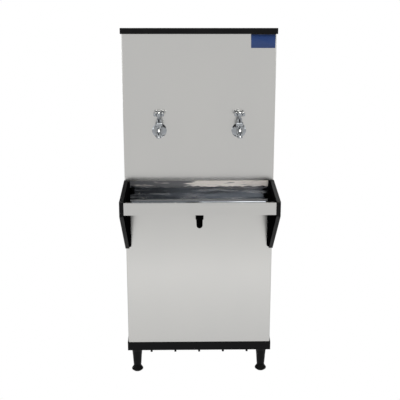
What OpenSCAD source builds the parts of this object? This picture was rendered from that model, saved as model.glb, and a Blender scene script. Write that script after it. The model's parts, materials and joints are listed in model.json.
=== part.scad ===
// Free-standing drinking-water cooler: stainless cabinet on a moulded base with four screw feet,
// two compression taps over a drip tray, a jacketed tank above and the refrigeration set below.
// Every module draws its piece in place. Heights count from the floor, and depths, inside
// at_front(), from the outer face of the front sheet.

/* [Cabinet] */
// Width of the stainless cabinet
cab_w = 580; // [540:1:640]
// Depth of the cabinet, front sheet to rear panel
cab_d = 450; // [430:1:520]
// Height of the machine space, base floor to tank shelf
machine_h = 821; // [790:1:900]
// Thickness of every sheet-metal part
sheet_t = 1; // [0.6:0.1:1.4]
// Outside radius of the bends at the cabinet's front corners
cab_bend_r = 4; // [2:0.5:8]
// Width of the flanges turned in at the back
rear_flange_w = 25; // [24:1:30]
// Width of the flange turned in round the top
top_flange_w = 12; // [8:1:14]

/* [Lid] */
// Thickness of the lid's top and skirt
lid_t = 3.5; // [2.5:0.1:4.5]
// Height of the lid, top face to skirt edge
lid_h = 22; // [16:1:30]
// Gap between the cabinet and the inside of the skirt
lid_gap = 1.5; // [0.5:0.1:3]
// Radius of the lid's vertical corners
lid_corner_r = 9; // [6:0.5:12]
// Thickness of the foam plug under the lid
plug_t = 41.5; // [30:0.5:60]

/* [Tank] */
// Distance of the tank from the cabinet's sides
tank_side = 55; // [50:0.5:70]
// Distance of the tank from the front sheet and the rear panel
tank_front = 60; // [54:0.5:75]
// Height of the tank, floor to rim
tank_h = 374; // [350:1:420]
// Wall of the tank
tank_wall = 2.5; // [1.5:0.1:4]
// Outside radius of the tank's corners
tank_corner_r = 30; // [24:1:40]
// Thickness of the jacket's floor
jacket_floor_t = 40; // [30:1:60]
// Radius of the evaporator tube
coil_tube_r = 4.75; // [3:0.05:5]
// Turns of the evaporator
coil_turns = 7; // [4:1:8]
// Rise of each turn
coil_pitch = 30; // [16:1:32]
// Lowest turn above the tank's floor
coil_lift = 75; // [70:1:90]

/* [Taps] */
// Distance between the two taps
tap_pitch = 304; // [240:1:340]
// Tap inlet above the tank's floor
tap_lift = 41; // [36:1:50]
// Radius of the wall flange
tap_flange_r = 28; // [24:0.5:32]
// Radius of the threaded shank
tap_shank_r = 10.4; // [9:0.1:11]
// Distance of the valve axis in front of the cabinet
tap_axis_out = 43; // [40:1:50]
// Outside radius of the valve chamber
tap_chamber_r = 13; // [12.6:0.1:15]
// Radius of the spout tube
spout_r = 8.5; // [7.5:0.1:9]
// Radius of the water way in the spout
spout_bore_r = 5.5; // [4.5:0.1:6]
// Bend radius of the spout
spout_bend = 17; // [15:0.5:22]
// Height of the tap above its inlet axis
tap_rise = 75; // [70:1:82]
// Reach of each handle lobe from the spindle axis
handle_r = 20.5; // [18:0.5:24]
// Height of the handle
handle_h = 19; // [15:0.5:22]
// Radius of the spindle
stem_r = 4; // [3:0.1:4.5]
// Lift of the washer carrier
jumper_lift = 4; // [2:0.5:5]

/* [Tray] */
// Reach of the tray in front of the cabinet
tray_reach = 230.4; // [200:0.2:260]
// Drop of the brackets' top corner below the tap inlets
tray_drop = 195; // [150:1:240]
// Height of the brackets against the cabinet
bracket_h = 274; // [250:1:320]
// Fall of the brackets' top edge from back to front
bracket_fall = 34; // [20:1:45]
// Height of the brackets' front edge
bracket_nose_h = 53.5; // [50:0.5:70]
// Thickness of the outer layer of a bracket, its rim
bracket_rim_t = 15; // [12:0.5:18]
// Thickness of the inner layer of a bracket, which closes the trough
bracket_cheek_t = 7; // [5:0.5:9]
// Height of the brushed front band
band_h = 46; // [40:1:48]
// Radius of the bends in the trough
trough_bend = 22; // [10:1:26]

/* [Base] */
// Height of the screw feet
foot_h = 28; // [22:1:34]
// Radius of the screw feet
foot_r = 23.5; // [20:0.5:27]
// Height of the legs
leg_h = 74; // [60:1:100]
// Radius of a leg at its top
leg_top_r = 21.5; // [20:0.5:24]
// Radius of a leg at its foot
leg_bottom_r = 16; // [13:0.5:18]
// Height of the base's front lip
base_lip_h = 34; // [25:1:45]
// Height of the base's side walls
base_side_h = 46; // [40:1:60]
// Wall of the base
base_wall = 2.7; // [2:0.1:4]
// Thickness of the base's floor
base_floor_t = 6; // [4:0.5:8]
// Depth of the ribs under the base
base_rib_h = 9; // [5:1:14]

/* [Refrigeration] */
// Radius of the compressor shell
comp_r = 76; // [70:1:80]
// Height of the compressor shell
comp_h = 172; // [150:1:200]
// Distance of the compressor's axis from the cabinet's right side
comp_side = 190; // [180:1:200]
// Rows of the condenser tube
cond_rows = 13; // [9:2:13]
// Distance between the rows
cond_pitch = 34; // [28:1:36]
// Radius of the condenser tube
cond_tube_r = 2.5; // [2:0.1:3]
// Wires on each side of the condenser tube
cond_wires = 31; // [21:2:31]
// Distance between the wires
cond_wire_pitch = 11; // [8:0.5:11]
// Radius of the wires
cond_wire_r = 0.8; // [0.6:0.1:1]
// Distance of the condenser tube behind the rear panel
cond_stand = 24; // [18:1:30]
// Radius of the suction line
suction_r = 4; // [3:0.1:4.5]
// Radius of the discharge line
discharge_r = 2.5; // [2:0.1:3]
// Radius of the capillary tube
capillary_r = 1.2; // [1:0.1:1.5]

/* [Float valve and fittings] */
// Float valve below the tank's rim
float_drop = 59; // [55:1:70]
// Float valve to the right of the middle
float_x = 120; // [60:1:130]
// Radius of the inlet thread
inlet_r = 10.4; // [9:0.1:11]
// Length of the inlet thread behind the rear panel
inlet_reach = 28; // [20:1:32]
// Radius of the float ball
ball_r = 40; // [30:1:42]
// Distance of the ball from the arm's pin
float_arm_l = 150; // [120:1:160]
// Droop of the arm when the tank is empty
float_droop = 40; // [30:1:45]
// Radius of the waste pipe
waste_r = 10; // [8:0.5:11]
// Waste outlet behind the rear panel
waste_reach = 28; // [20:1:32]
// Radius of the thermostat knob
knob_r = 17; // [14:0.5:18]

/* [Hidden] */
$fn = 64;

// Overrun of every cut past the face that it opens
over = 1;
// Gap between parts that lie against each other without a fit
seat_gap = 0.3;
// Radial clearance of a shaft that runs in its bore
run_gap = 0.05;
// Radial clearance of a fixed part in the hole it passes
pass_gap = 0.5;
// Flats of a hexagon nut
hex = 6;

// Heights, from the floor up
base_z = foot_h + leg_h;
floor_z = base_z + base_floor_t;
shelf_z = floor_z + machine_h;
jacket_z = shelf_z + sheet_t;
tank_z = jacket_z + jacket_floor_t;
rim_z = tank_z + tank_h;
plug_z = rim_z + tank_wall + pass_gap;
lid_under_z = plug_z + plug_t;
cab_top_z = lid_under_z - seat_gap;
lid_top_z = lid_under_z + lid_t;
tap_z = tank_z + tap_lift;
bracket_top_z = tap_z - tray_drop;

// Rear fittings
wire_gap = 0.1;
knob_h = 17;
knob_gap = 1;
knob_reach = knob_h + knob_gap;
rear_panel_lift = 312;
rear_panel_side = 3;
rear_panel_z = floor_z + rear_panel_lift;

// Depths, from the front sheet back
back_reach = max(cond_stand + cond_tube_r + 2 * cond_wire_r + wire_gap, inlet_reach,
                 waste_reach, knob_reach);
front_y = (tray_reach - cab_d - back_reach) / 2;
inner_w = cab_w - 2 * sheet_t;
inner_y = sheet_t;
panel_y = cab_d - sheet_t;
jacket_y = inner_y + pass_gap;
jacket_d = panel_y - pass_gap - jacket_y;
jacket_w = inner_w - 2 * pass_gap;
tank_y = jacket_y + jacket_d / 2;
tank_w = cab_w - 2 * tank_side;
tank_d = cab_d - 2 * tank_front;

// Room for the evaporator between tank and jacket
coil_gap = 0.5;
coil_room = 2 * coil_tube_r + 2 * coil_gap;
jacket_corner_r = 20;
tank_lip = 6;

// Points and directions
function unit(v) = v / norm(v);
function left_of(v) = [-v.y, v.x];

// Arc of radius r that rounds the corner b between a and c, in n steps
function corner_arc(a, b, c, r, n) =
  r == 0 ? [b] :
  let (u = unit(a - b), v = unit(c - b), half = acos(u * v) / 2, sweep = 180 - 2 * half,
       centre = b + unit(u + v) * r / sin(half),
       s = b + u * r / tan(half) - centre, e = b + v * r / tan(half) - centre)
  [for (k = [0 : n]) centre
    + s * sin(sweep * (1 - k / n)) / sin(sweep) + e * sin(sweep * k / n) / sin(sweep)];

// Closed outline with a radius for each corner
function rounded_loop(p, radii, n = 6) =
  [for (i = [0 : len(p) - 1])
    each corner_arc(p[(i + len(p) - 1) % len(p)], p[i], p[(i + 1) % len(p)], radii[i], n)];

// Open path with the same radius at every corner between its ends
function rounded_path(p, r, n = 6) =
  [p[0], for (i = [1 : len(p) - 2]) each corner_arc(p[i - 1], p[i], p[i + 1], r, n), p[len(p) - 1]];

// Path moved to its left by t, with mitred corners
function moved_path(p, t) =
  [for (i = [0 : len(p) - 1])
    let (a = left_of(unit(p[max(i, 1)] - p[max(i, 1) - 1])),
         b = left_of(unit(p[min(i, len(p) - 2) + 1] - p[min(i, len(p) - 2)])),
         m = unit(a + b))
    p[i] + m * t / (m * a)];

function reversed(p) = [for (i = [len(p) - 1 : -1 : 0]) p[i]];

// Outline of a bent sheet that lies to the left of its path
function sheet_outline(p, t) = concat(p, reversed(moved_path(p, t)));

module at_front() {
  translate([0, front_y, 0]) children();
}

// Rectangle with rounded corners, centred
module round_rect(w, d, r) {
  square([w - 2 * r, d], center = true);
  square([w, d - 2 * r], center = true);
  for (x = [-1, 1], y = [-1, 1])
    translate([x * (w / 2 - r), y * (d / 2 - r)]) circle(r);
}

// Stands a profile drawn in depth and height on edge and draws it out along the width, centred
module across(w) {
  translate([-w / 2, 0, 0]) rotate([90, 0, 90]) linear_extrude(w) children();
}

// Cylinder from point p along y
module bar_y(p, r, l) {
  translate(p) rotate([-90, 0, 0]) cylinder(r = r, h = l);
}

// Cylinder from point p along x
module bar_x(p, r, l) {
  translate(p) rotate([0, 90, 0]) cylinder(r = r, h = l);
}

// Carries a child from the z axis to point p with its z axis along d and its x axis along u
module carried(p, d, u) {
  w = cross(d, u);
  multmatrix([[u.x, w.x, d.x, p.x], [u.y, w.y, d.y, p.y], [u.z, w.z, d.z, p.z], [0, 0, 0, 1]])
    children();
}

function any_side(d) = unit(cross(d, abs(d.z) < 0.9 ? [0, 0, 1] : [1, 0, 0]));

// Length that a bend of radius b takes from each straight at corner i of the points
function bend_cut(p, i, b) =
  i == 0 || i == len(p) - 1 ? 0 :
  b * tan(acos(unit(p[i] - p[i - 1]) * unit(p[i + 1] - p[i])) / 2);

// Round tube through the points, bent at each corner
module bent_tube(p, r, b) {
  shortest_run_share = 0.001;
  for (i = [0 : len(p) - 2]) {
    d = unit(p[i + 1] - p[i]);
    run = norm(p[i + 1] - p[i]) - bend_cut(p, i, b) - bend_cut(p, i + 1, b);
    if (run > shortest_run_share * r)
      carried(p[i] + d * bend_cut(p, i, b), d, any_side(d)) cylinder(r = r, h = run);
  }
  for (i = [1 : len(p) - 2]) {
    a = unit(p[i] - p[i - 1]);
    c = unit(p[i + 1] - p[i]);
    turn = acos(a * c);
    out = unit(a - c);
    start = unit(out - a * (out * a));
    centre = p[i] - a * bend_cut(p, i, b) - start * b;
    carried(centre, cross(start, a), start)
      rotate_extrude(angle = turn) translate([b, 0]) circle(r);
  }
}

// Base and feet
base_rib_w = 8;
base_ribs = 5;
base_rib_side = 94;
base_rib_pitch = (cab_w - 2 * base_rib_side) / (base_ribs - 1);
base_slope_d = 33;
leg_x_inset = 33;
leg_y_inset = 28;
leg_spigot_r = 10;
leg_flare_r = 25;
leg_flare_h = 7;
foot_stud_r = 5;
foot_stud_l = 50;
base_out = seat_gap + base_wall;

function leg_place(x, y) =
  [x * (cab_w / 2 - leg_x_inset), y < 0 ? leg_y_inset : cab_d - leg_y_inset, 0];

module base() {
  color("#1c1c1e") at_front() difference() {
    union() {
      translate([-cab_w / 2 - base_out, -base_out, base_z])
        cube([cab_w + 2 * base_out, cab_d + 2 * base_out, base_floor_t]);
      // Front and rear lips
      for (y = [-base_out, cab_d + seat_gap])
        translate([-cab_w / 2 - base_out, y, base_z])
          cube([cab_w + 2 * base_out, base_wall, base_lip_h]);
      // Side walls, which slope up from the lips
      for (x = [-cab_w / 2 - base_out, cab_w / 2 + seat_gap])
        translate([x, 0, 0]) rotate([90, 0, 90]) linear_extrude(base_wall)
          polygon([[-base_out, base_z], [-base_out, base_z + base_lip_h],
                   [base_slope_d, base_z + base_side_h],
                   [cab_d - base_slope_d, base_z + base_side_h],
                   [cab_d + base_out, base_z + base_lip_h], [cab_d + base_out, base_z]]);
      for (i = [0 : base_ribs - 1])
        translate([(i - (base_ribs - 1) / 2) * base_rib_pitch - base_rib_w / 2, 0,
                   base_z - base_rib_h])
          cube([base_rib_w, cab_d, base_rib_h]);
    }
    for (x = [-1, 1], y = [-1, 1])
      translate(leg_place(x, y) + [0, 0, base_z - over])
        cylinder(r = leg_spigot_r + seat_gap, h = base_floor_t + 2 * over);
  }
}

module leg(x, y) {
  top = base_z - seat_gap;
  color("#1a1a1c") at_front() translate(leg_place(x, y)) difference() {
    rotate_extrude() polygon(concat(
      [[0, foot_h], [leg_bottom_r, foot_h]],
      [for (k = [0 : 4])
        [leg_top_r + (leg_flare_r - leg_top_r) * (1 - cos(k * 90 / 4)),
         top - leg_flare_h * (1 - sin(k * 90 / 4))]],
      [[leg_spigot_r, top], [leg_spigot_r, floor_z], [0, floor_z]]));
    translate([0, 0, foot_h - over])
      cylinder(r = foot_stud_r + run_gap, h = foot_stud_l + 2 * over);
  }
}

module foot(x, y) {
  top = foot_h - seat_gap;
  belly_share = 0.45;
  sole_share = 0.62;
  color("#202022") at_front() translate(leg_place(x, y)) rotate_extrude()
    polygon(concat(
      [[0, 0]],
      [for (k = [0 : 6])
        [foot_r * (sole_share + (1 - sole_share) * sin(k * 90 / 6)),
         top * belly_share * (1 - cos(k * 90 / 6))]],
      [[leg_bottom_r, top], [foot_stud_r, top], [foot_stud_r, top + foot_stud_l],
       [0, top + foot_stud_l]]));
}

// Cabinet
screw_r = 1.9;
screw_head_r = 4;
screw_head_h = 2.2;
screw_l = 8;
rear_screw_rows = 5;
rear_screw_margin = 60;
panel_screw_x = cab_w / 2 - rear_flange_w / 2;
panel_screw_pitch = (cab_top_z - lid_h - rear_panel_z - 2 * rear_screw_margin) / (rear_screw_rows - 1);
gland_r = 8;
gland_lift = 140;
gland_z = floor_z + gland_lift;
gland_x = cab_w / 2 - rear_flange_w / 2 - 2 * sheet_t;

function panel_screw_z(i) = rear_panel_z + rear_screw_margin + i * panel_screw_pitch;

module panel_screw_holes(y) {
  for (x = [-1, 1], i = [0 : rear_screw_rows - 1])
    bar_y([x * panel_screw_x, y - over, panel_screw_z(i)], screw_r + seat_gap, sheet_t + 2 * over);
}

// The front sheet is bent round both corners, and meets the side sheets edge to edge
front_return = 20;

module cabinet_front() {
  w = cab_w / 2;
  s = sheet_t / 2;
  path = rounded_path([[w, front_return], [w, 0], [-w, 0], [-w, front_return]], cab_bend_r);
  color("#b9b8b5") at_front() difference() {
    union() {
      translate([0, 0, floor_z]) linear_extrude(cab_top_z - floor_z)
        polygon(sheet_outline(reversed(path), sheet_t));
      // Flange turned in along the top
      translate([0, 0, cab_top_z - sheet_t]) linear_extrude(sheet_t)
        polygon(rounded_loop([[w - s, top_flange_w], [w - s, s], [s - w, s], [s - w, top_flange_w]],
                             [0, cab_bend_r - s, cab_bend_r - s, 0]));
    }
    for (x = [-1, 1])
      bar_y([x * tap_pitch / 2, -over, tap_z], tap_shank_r + pass_gap, sheet_t + 2 * over);
    bar_y([0, -over, elbow_z], elbow_r + pass_gap, sheet_t + 2 * over);
    for (x = [-1, 1], z = bracket_screw_heights)
      bar_y([x * bracket_screw_x, -over, z], screw_r + seat_gap, sheet_t + 2 * over);
  }
}

// Right-hand side sheet, with flanges turned in at the back and the top
module cabinet_side(gland) {
  w = cab_w / 2;
  s = sheet_t / 2;
  y = front_return + seat_gap;
  path = rounded_path([[w - rear_flange_w, panel_y], [w, panel_y], [w, y]], cab_bend_r);
  difference() {
    union() {
      translate([0, 0, floor_z]) linear_extrude(cab_top_z - floor_z)
        polygon(sheet_outline(reversed(path), sheet_t));
      translate([0, 0, cab_top_z - sheet_t]) linear_extrude(sheet_t)
        polygon(rounded_loop([[w - top_flange_w, y], [w - top_flange_w, panel_y - s],
                              [w - s, panel_y - s], [w - s, y]], [0, 0, cab_bend_r - s, 0]));
    }
    panel_screw_holes(panel_y - sheet_t);
    if (gland)
      bar_y([gland_x, panel_y - sheet_t - over, gland_z], gland_r + seat_gap, sheet_t + 2 * over);
  }
}

module cabinet_sides() {
  color("#b9b8b5") at_front() {
    cabinet_side(true);
    mirror([1, 0, 0]) cabinet_side(false);
  }
}

module rear_panel() {
  w = cab_w - 2 * rear_panel_side;
  color("#9a9da0") at_front() difference() {
    translate([-w / 2, panel_y, rear_panel_z]) cube([w, sheet_t, cab_top_z - rear_panel_z]);
    panel_screw_holes(panel_y);
    bar_y([float_x, panel_y - over, float_z], inlet_r + pass_gap, sheet_t + 2 * over);
    bar_y([knob_x, panel_y - over, knob_z], knob_shaft_r + pass_gap, sheet_t + 2 * over);
    bar_y([-waste_x, panel_y - over, waste_out_z], waste_r + pass_gap, sheet_t + 2 * over);
  }
}

module screw_y(p) {
  bar_y(p + [0, seat_gap / 2, 0], screw_head_r, screw_head_h);
  bar_y(p - [0, screw_l, 0], screw_r, screw_l + screw_head_h);
}

module rear_panel_screws() {
  color("#c9cbce") at_front()
    for (x = [-1, 1], i = [0 : rear_screw_rows - 1])
      screw_y([x * panel_screw_x, cab_d, panel_screw_z(i)]);
}

// Tank, its shelf and its jacket
// The jacket stops short of the flanges turned in at the back
rear_flange_room = sheet_t;
shelf_flange_h = 25;
shelf_side_gap = 0.3;
suction_x = tank_w / 2 + coil_gap + coil_tube_r;
coil_corner_r = tank_corner_r + coil_gap + coil_tube_r;
coil_corner_x = tank_w / 2 - tank_corner_r;
coil_corner_y = tank_d / 2 - tank_corner_r;
coil_z = tank_z + coil_lift;
suction_bend = 12;
suction_y = tank_y + coil_corner_y - 3 * suction_bend;
capillary_lead = 23;
capillary_y = tank_y + coil_corner_y + capillary_lead;
float_z = rim_z - float_drop;

module line_holes(z, h) {
  translate([suction_x, suction_y, z - over])
    cylinder(r = suction_r + pass_gap, h = h + 2 * over);
  translate([suction_x, capillary_y, z - over])
    cylinder(r = capillary_r + pass_gap, h = h + 2 * over);
}

module tank_shelf() {
  w = inner_w - 2 * shelf_side_gap;
  y = inner_y + shelf_side_gap;
  d = panel_y - sheet_t - shelf_side_gap - y;
  r = cab_bend_r - sheet_t - shelf_side_gap;
  color("#a7aaac") at_front() difference() {
    translate([0, y + d / 2, jacket_z - shelf_flange_h])
      linear_extrude(shelf_flange_h) round_rect(w, d, r);
    translate([0, y + d / 2, jacket_z - shelf_flange_h - over])
      linear_extrude(shelf_flange_h - sheet_t + over)
        round_rect(w - 2 * sheet_t, d - 2 * sheet_t, r - sheet_t);
    line_holes(shelf_z, sheet_t);
  }
}

module tank_jacket() {
  color("#ecebe4") at_front() difference() {
    translate([0, jacket_y + (jacket_d - rear_flange_room) / 2, jacket_z])
      linear_extrude(rim_z - jacket_z)
        round_rect(jacket_w, jacket_d - rear_flange_room, cab_bend_r - sheet_t - pass_gap);
    translate([0, tank_y, tank_z]) linear_extrude(tank_h + over)
      round_rect(tank_w + 2 * coil_room, tank_d + 2 * coil_room, jacket_corner_r);
    for (x = [-1, 1])
      bar_y([x * tap_pitch / 2, jacket_y - over, tap_z], tap_shank_r + pass_gap, tank_y);
    bar_y([float_x, tank_y, float_z], inlet_r + pass_gap, cab_d);
    line_holes(jacket_z, jacket_floor_t);
    // Grooves that clear the rear panel's screws
    for (x = [-1, 1])
      translate([x * panel_screw_x - screw_head_r, cab_d - screw_l - seat_gap, jacket_z - over])
        cube([2 * screw_head_r, cab_d, cab_top_z - jacket_z]);
  }
}

module tank() {
  lip_w = tank_w + 2 * coil_room + 2 * tank_lip;
  lip_d = tank_d + 2 * coil_room + 2 * tank_lip;
  color("#d7dadb") at_front() translate([0, tank_y, 0]) difference() {
    union() {
      translate([0, 0, tank_z])
        linear_extrude(tank_h + tank_wall) round_rect(tank_w, tank_d, tank_corner_r);
      translate([0, 0, rim_z])
        linear_extrude(tank_wall) round_rect(lip_w, lip_d, jacket_corner_r);
    }
    translate([0, 0, tank_z + tank_wall]) linear_extrude(tank_h + over)
      round_rect(tank_w - 2 * tank_wall, tank_d - 2 * tank_wall, tank_corner_r - tank_wall);
    for (x = [-1, 1])
      bar_y([x * tap_pitch / 2, -tank_d, tap_z], tap_shank_r + pass_gap, tank_d);
    bar_y([float_x, 0, float_z], inlet_r + pass_gap, tank_d);
  }
}

// Point k of the evaporator, with six rings round each corner of a turn
coil_rings = 24;
coil_sides = 6;
function coil_point(k) =
  let (q = floor((k % coil_rings) / 6), a = 90 * q + 18 * (k % 6),
       sx = q == 0 || q == 3 ? 1 : -1, sy = q < 2 ? 1 : -1)
  [sx * coil_corner_x + coil_corner_r * cos(a), tank_y + sy * coil_corner_y
   + coil_corner_r * sin(a), coil_z + coil_pitch * k / coil_rings];
coil_last = coil_turns * coil_rings;
coil_tail = 2 * coil_tube_r;
coil_path = concat(
  [coil_point(0) - [0, coil_tail, 0]],
  [for (k = [0 : coil_last]) coil_point(k)],
  [coil_point(coil_last) + [0, coil_tail, 0]]);

// Tube of a few sides swept along a path, one ring at each point
function path_direction(p, i) =
  unit(unit(p[min(i + 1, len(p) - 1)] - p[min(i, len(p) - 2)]) + unit(p[max(i, 1)] - p[max(i, 1) - 1]));

module swept_tube(p, r, sides) {
  n = len(p);
  points = [for (i = [0 : n - 1])
    let (d = path_direction(p, i), u = unit(cross(d, [0, 0, 1])), w = cross(d, u))
    for (s = [0 : sides - 1]) p[i] + r * (cos(s * 360 / sides) * u + sin(s * 360 / sides) * w)];
  walls = [for (i = [0 : n - 2], s = [0 : sides - 1])
    let (a = i * sides + s, b = i * sides + (s + 1) % sides)
    each [[a, b, b + sides], [a, b + sides, a + sides]]];
  ends = [for (s = [1 : sides - 2]) each [[0, s + 1, s],
    [(n - 1) * sides, (n - 1) * sides + s, (n - 1) * sides + s + 1]]];
  polyhedron(points, concat(walls, ends));
}

module evaporator_coil() {
  least_gap = coil_pitch - 2 * coil_tube_r;
  echo(evaporator_least_gap = least_gap);
  color("#b87148") at_front() swept_tube(coil_path, coil_tube_r, coil_sides);
}

// Lid
lid_w = cab_w + 2 * (lid_gap + lid_t);
lid_d = cab_d + 2 * (lid_gap + lid_t);
plug_gap = 3;

module lid() {
  color("#19191b") at_front() translate([0, cab_d / 2, 0]) difference() {
    translate([0, 0, lid_top_z - lid_h]) linear_extrude(lid_h)
      round_rect(lid_w, lid_d, lid_corner_r);
    translate([0, 0, lid_top_z - lid_h - over]) linear_extrude(lid_h - lid_t + over)
      round_rect(lid_w - 2 * lid_t, lid_d - 2 * lid_t, lid_corner_r - lid_t);
  }
}

module lid_plug() {
  w = cab_w - 2 * (top_flange_w + plug_gap);
  y = top_flange_w + plug_gap;
  color("#ecebe4") at_front()
    translate([-w / 2, y, plug_z]) cube([w, panel_y - 2 * plug_gap - y, plug_t]);
}

// Float valve
valve_r = 12;
valve_l = 30;
valve_wall_y = tank_y + tank_d / 2 - tank_wall;
valve_nut_h = 7;
valve_nut_r = 15;
lug_t = 3;
lug_gap = 7.4;
hub_r = 5;
float_pin_r = 2;
lever_h = 8;
lever_tip_r = 3;
arm_hub_r = 4;
float_shank_r = inlet_r - 2 * seat_gap;
plunger_r = 5;
plunger_l = 22;
arm_r = 2.5;
valve_y = valve_wall_y - valve_nut_h - valve_l;
pin_y = valve_y - hub_r - lever_tip_r;
pin_z = float_z - lever_h;
plunger_y = pin_y + lever_tip_r + seat_gap;
plunger_travel = lever_h * float_droop * PI / 180;

module float_valve() {
  color("#b5894a") at_front() difference() {
    union() {
      bar_y([float_x, valve_y, float_z], valve_r, valve_l);
      bar_y([float_x, valve_y, float_z], float_shank_r, cab_d + valve_nut_h + over - valve_y);
      bar_y([float_x, cab_d + valve_nut_h, float_z], inlet_r, inlet_reach - valve_nut_h);
      // Two lugs that hold the arm's pin
      for (x = [-lug_gap / 2 - lug_t, lug_gap / 2])
        translate([float_x + x, 0, 0]) rotate([90, 0, 90]) linear_extrude(lug_t) {
          translate([pin_y, pin_z - hub_r]) square([valve_y + hub_r - pin_y, 2 * hub_r]);
          translate([pin_y, pin_z]) circle(hub_r);
        }
    }
    bar_y([float_x, pin_y - hub_r, float_z], plunger_r + run_gap,
          valve_y - pin_y + hub_r + plunger_l + plunger_travel - over);
    bar_y([float_x, valve_y, float_z], plunger_r / 2, cab_d + inlet_reach);
    bar_x([float_x - lug_gap, pin_y, pin_z], float_pin_r + run_gap, 2 * lug_gap);
  }
}

module float_valve_nuts() {
  color("#c39a56") at_front()
    for (y = [valve_wall_y - valve_nut_h, cab_d]) difference() {
      translate([float_x, y, float_z]) rotate([-90, 0, 0])
        cylinder(r = valve_nut_r, h = valve_nut_h, $fn = hex);
      bar_y([float_x, y - over, float_z], float_shank_r + run_gap, valve_nut_h + 2 * over);
    }
}

module float_pin() {
  head_t = 1;
  l = lug_gap + 2 * lug_t;
  color("#c8cacc") at_front() {
    bar_x([float_x - l / 2 - head_t, pin_y, pin_z], float_pin_r, l + 2 * head_t);
    for (x = [-l / 2 - head_t - seat_gap / 2, l / 2 + seat_gap / 2])
      bar_x([float_x + x, pin_y, pin_z], float_pin_r + head_t, head_t);
  }
}

module float_plunger() {
  color("#e2e0d8") at_front() bar_y([float_x, plunger_y, float_z], plunger_r, plunger_l);
}

module float_arm() {
  hub_w = lug_gap - 2 * seat_gap;
  color("#c3924d") at_front() translate([float_x, pin_y, pin_z]) difference() {
    union() {
      bar_x([-hub_w / 2, 0, 0], arm_hub_r, hub_w);
      // Short lever that pushes the plunger
      bar_x([-hub_w / 2, 0, lever_h], lever_tip_r, hub_w);
      translate([-hub_w / 2, -lever_tip_r, 0]) cube([hub_w, 2 * lever_tip_r, lever_h]);
      rotate([float_droop, 0, 0]) rotate([90, 0, 0])
        cylinder(r = arm_r, h = float_arm_l - ball_r);
    }
    bar_x([-hub_w, 0, 0], float_pin_r + run_gap, 2 * hub_w);
  }
}

module float_ball() {
  boss_r = 7;
  boss_l = 12;
  color("#3a6ea8") at_front() translate([float_x, pin_y, pin_z])
    rotate([float_droop, 0, 0]) rotate([90, 0, 0]) difference() {
      union() {
        translate([0, 0, float_arm_l]) sphere(ball_r);
        translate([0, 0, float_arm_l - ball_r - boss_l / 2]) cylinder(r = boss_r, h = boss_l);
      }
      translate([0, 0, float_arm_l - ball_r - boss_l])
        cylinder(r = arm_r + run_gap, h = boss_l + run_gap);
    }
}

// Thermostat
service_inset = 46;
knob_x = cab_w / 2 - service_inset;
knob_drop = 50;
knob_z = shelf_z - knob_drop;
knob_shaft_r = 3;
stat_w = 36;
stat_h = 40;
stat_d = 26;

module thermostat() {
  front = panel_y - seat_gap - stat_d;
  color("#8d9194") at_front() {
    translate([knob_x - stat_w / 2, front, knob_z - stat_h / 2]) cube([stat_w, stat_d, stat_h]);
    bar_y([knob_x, front + stat_d / 2, knob_z], knob_shaft_r,
          cab_d + knob_gap + knob_h / 2 - front - stat_d / 2);
  }
}

module thermostat_knob() {
  grips = 12;
  grip_points = 6;
  grip_depth = 1.2;
  skirt_h = 4;
  grip_share = 0.82;
  n = grips * grip_points;
  color("#232326") at_front() translate([knob_x, cab_d + knob_gap, knob_z])
    rotate([-90, 0, 0]) difference() {
      union() {
        cylinder(r = knob_r, h = skirt_h);
        linear_extrude(knob_h) polygon([for (i = [0 : n - 1])
          let (r = knob_r * grip_share - grip_depth / 2 * (1 + cos(i * 360 / grip_points)))
          [r * cos(i * 360 / n), r * sin(i * 360 / n)]]);
      }
      translate([0, 0, -over])
        cylinder(r = knob_shaft_r + run_gap, h = knob_h / 2 + over + seat_gap);
    }
}

// Compressor
comp_back = 160;
comp_x = cab_w / 2 - comp_side;
comp_y = cab_d - comp_back;
comp_foot_x = 84;
comp_foot_y = 62;
rail_w = 30;
rail_h = 20;
rail_lip = 14;
rail_end = 30;
rail_l = cab_w - 2 * rail_end;
grommet_r = 11;
grommet_h = 14;
grommet_neck_r = 7;
bolt_r = 3;
plate_t = 3;
plate_corner_r = 14;
rail_top_z = floor_z + rail_h;
plate_z = rail_top_z + grommet_h;
comp_z = plate_z - 2 * plate_t;
seam_r = 4;
seam_h = 8;
boss_r = 6;
boss_l = 8;
stub_off = 24;
suction_z = comp_z + comp_h / 2 + stub_off;
discharge_z = comp_z + comp_h / 2 - stub_off;

module compressor_rails() {
  half = rail_w / 2;
  path = [[-half - rail_lip, 0], [-half, 0], [-half, rail_h], [half, rail_h], [half, 0],
          [half + rail_lip, 0]];
  color("#a7aaac") at_front() for (y = [-1, 1])
    translate([-rail_l / 2, comp_y + y * comp_foot_y, floor_z]) rotate([90, 0, 90])
      linear_extrude(rail_l) polygon(sheet_outline(reversed(path_inside(path)), sheet_t));
}

// Path of the rail's inner face, so that its outer face keeps the rail's size
function path_inside(p) = [for (i = [0 : len(p) - 1])
  [p[i].x, p[i].y == 0 ? sheet_t : p[i].y]];

module compressor_feet() {
  for (x = [-1, 1], y = [-1, 1])
    translate([comp_x + x * comp_foot_x, comp_y + y * comp_foot_y, 0]) children();
}

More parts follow.
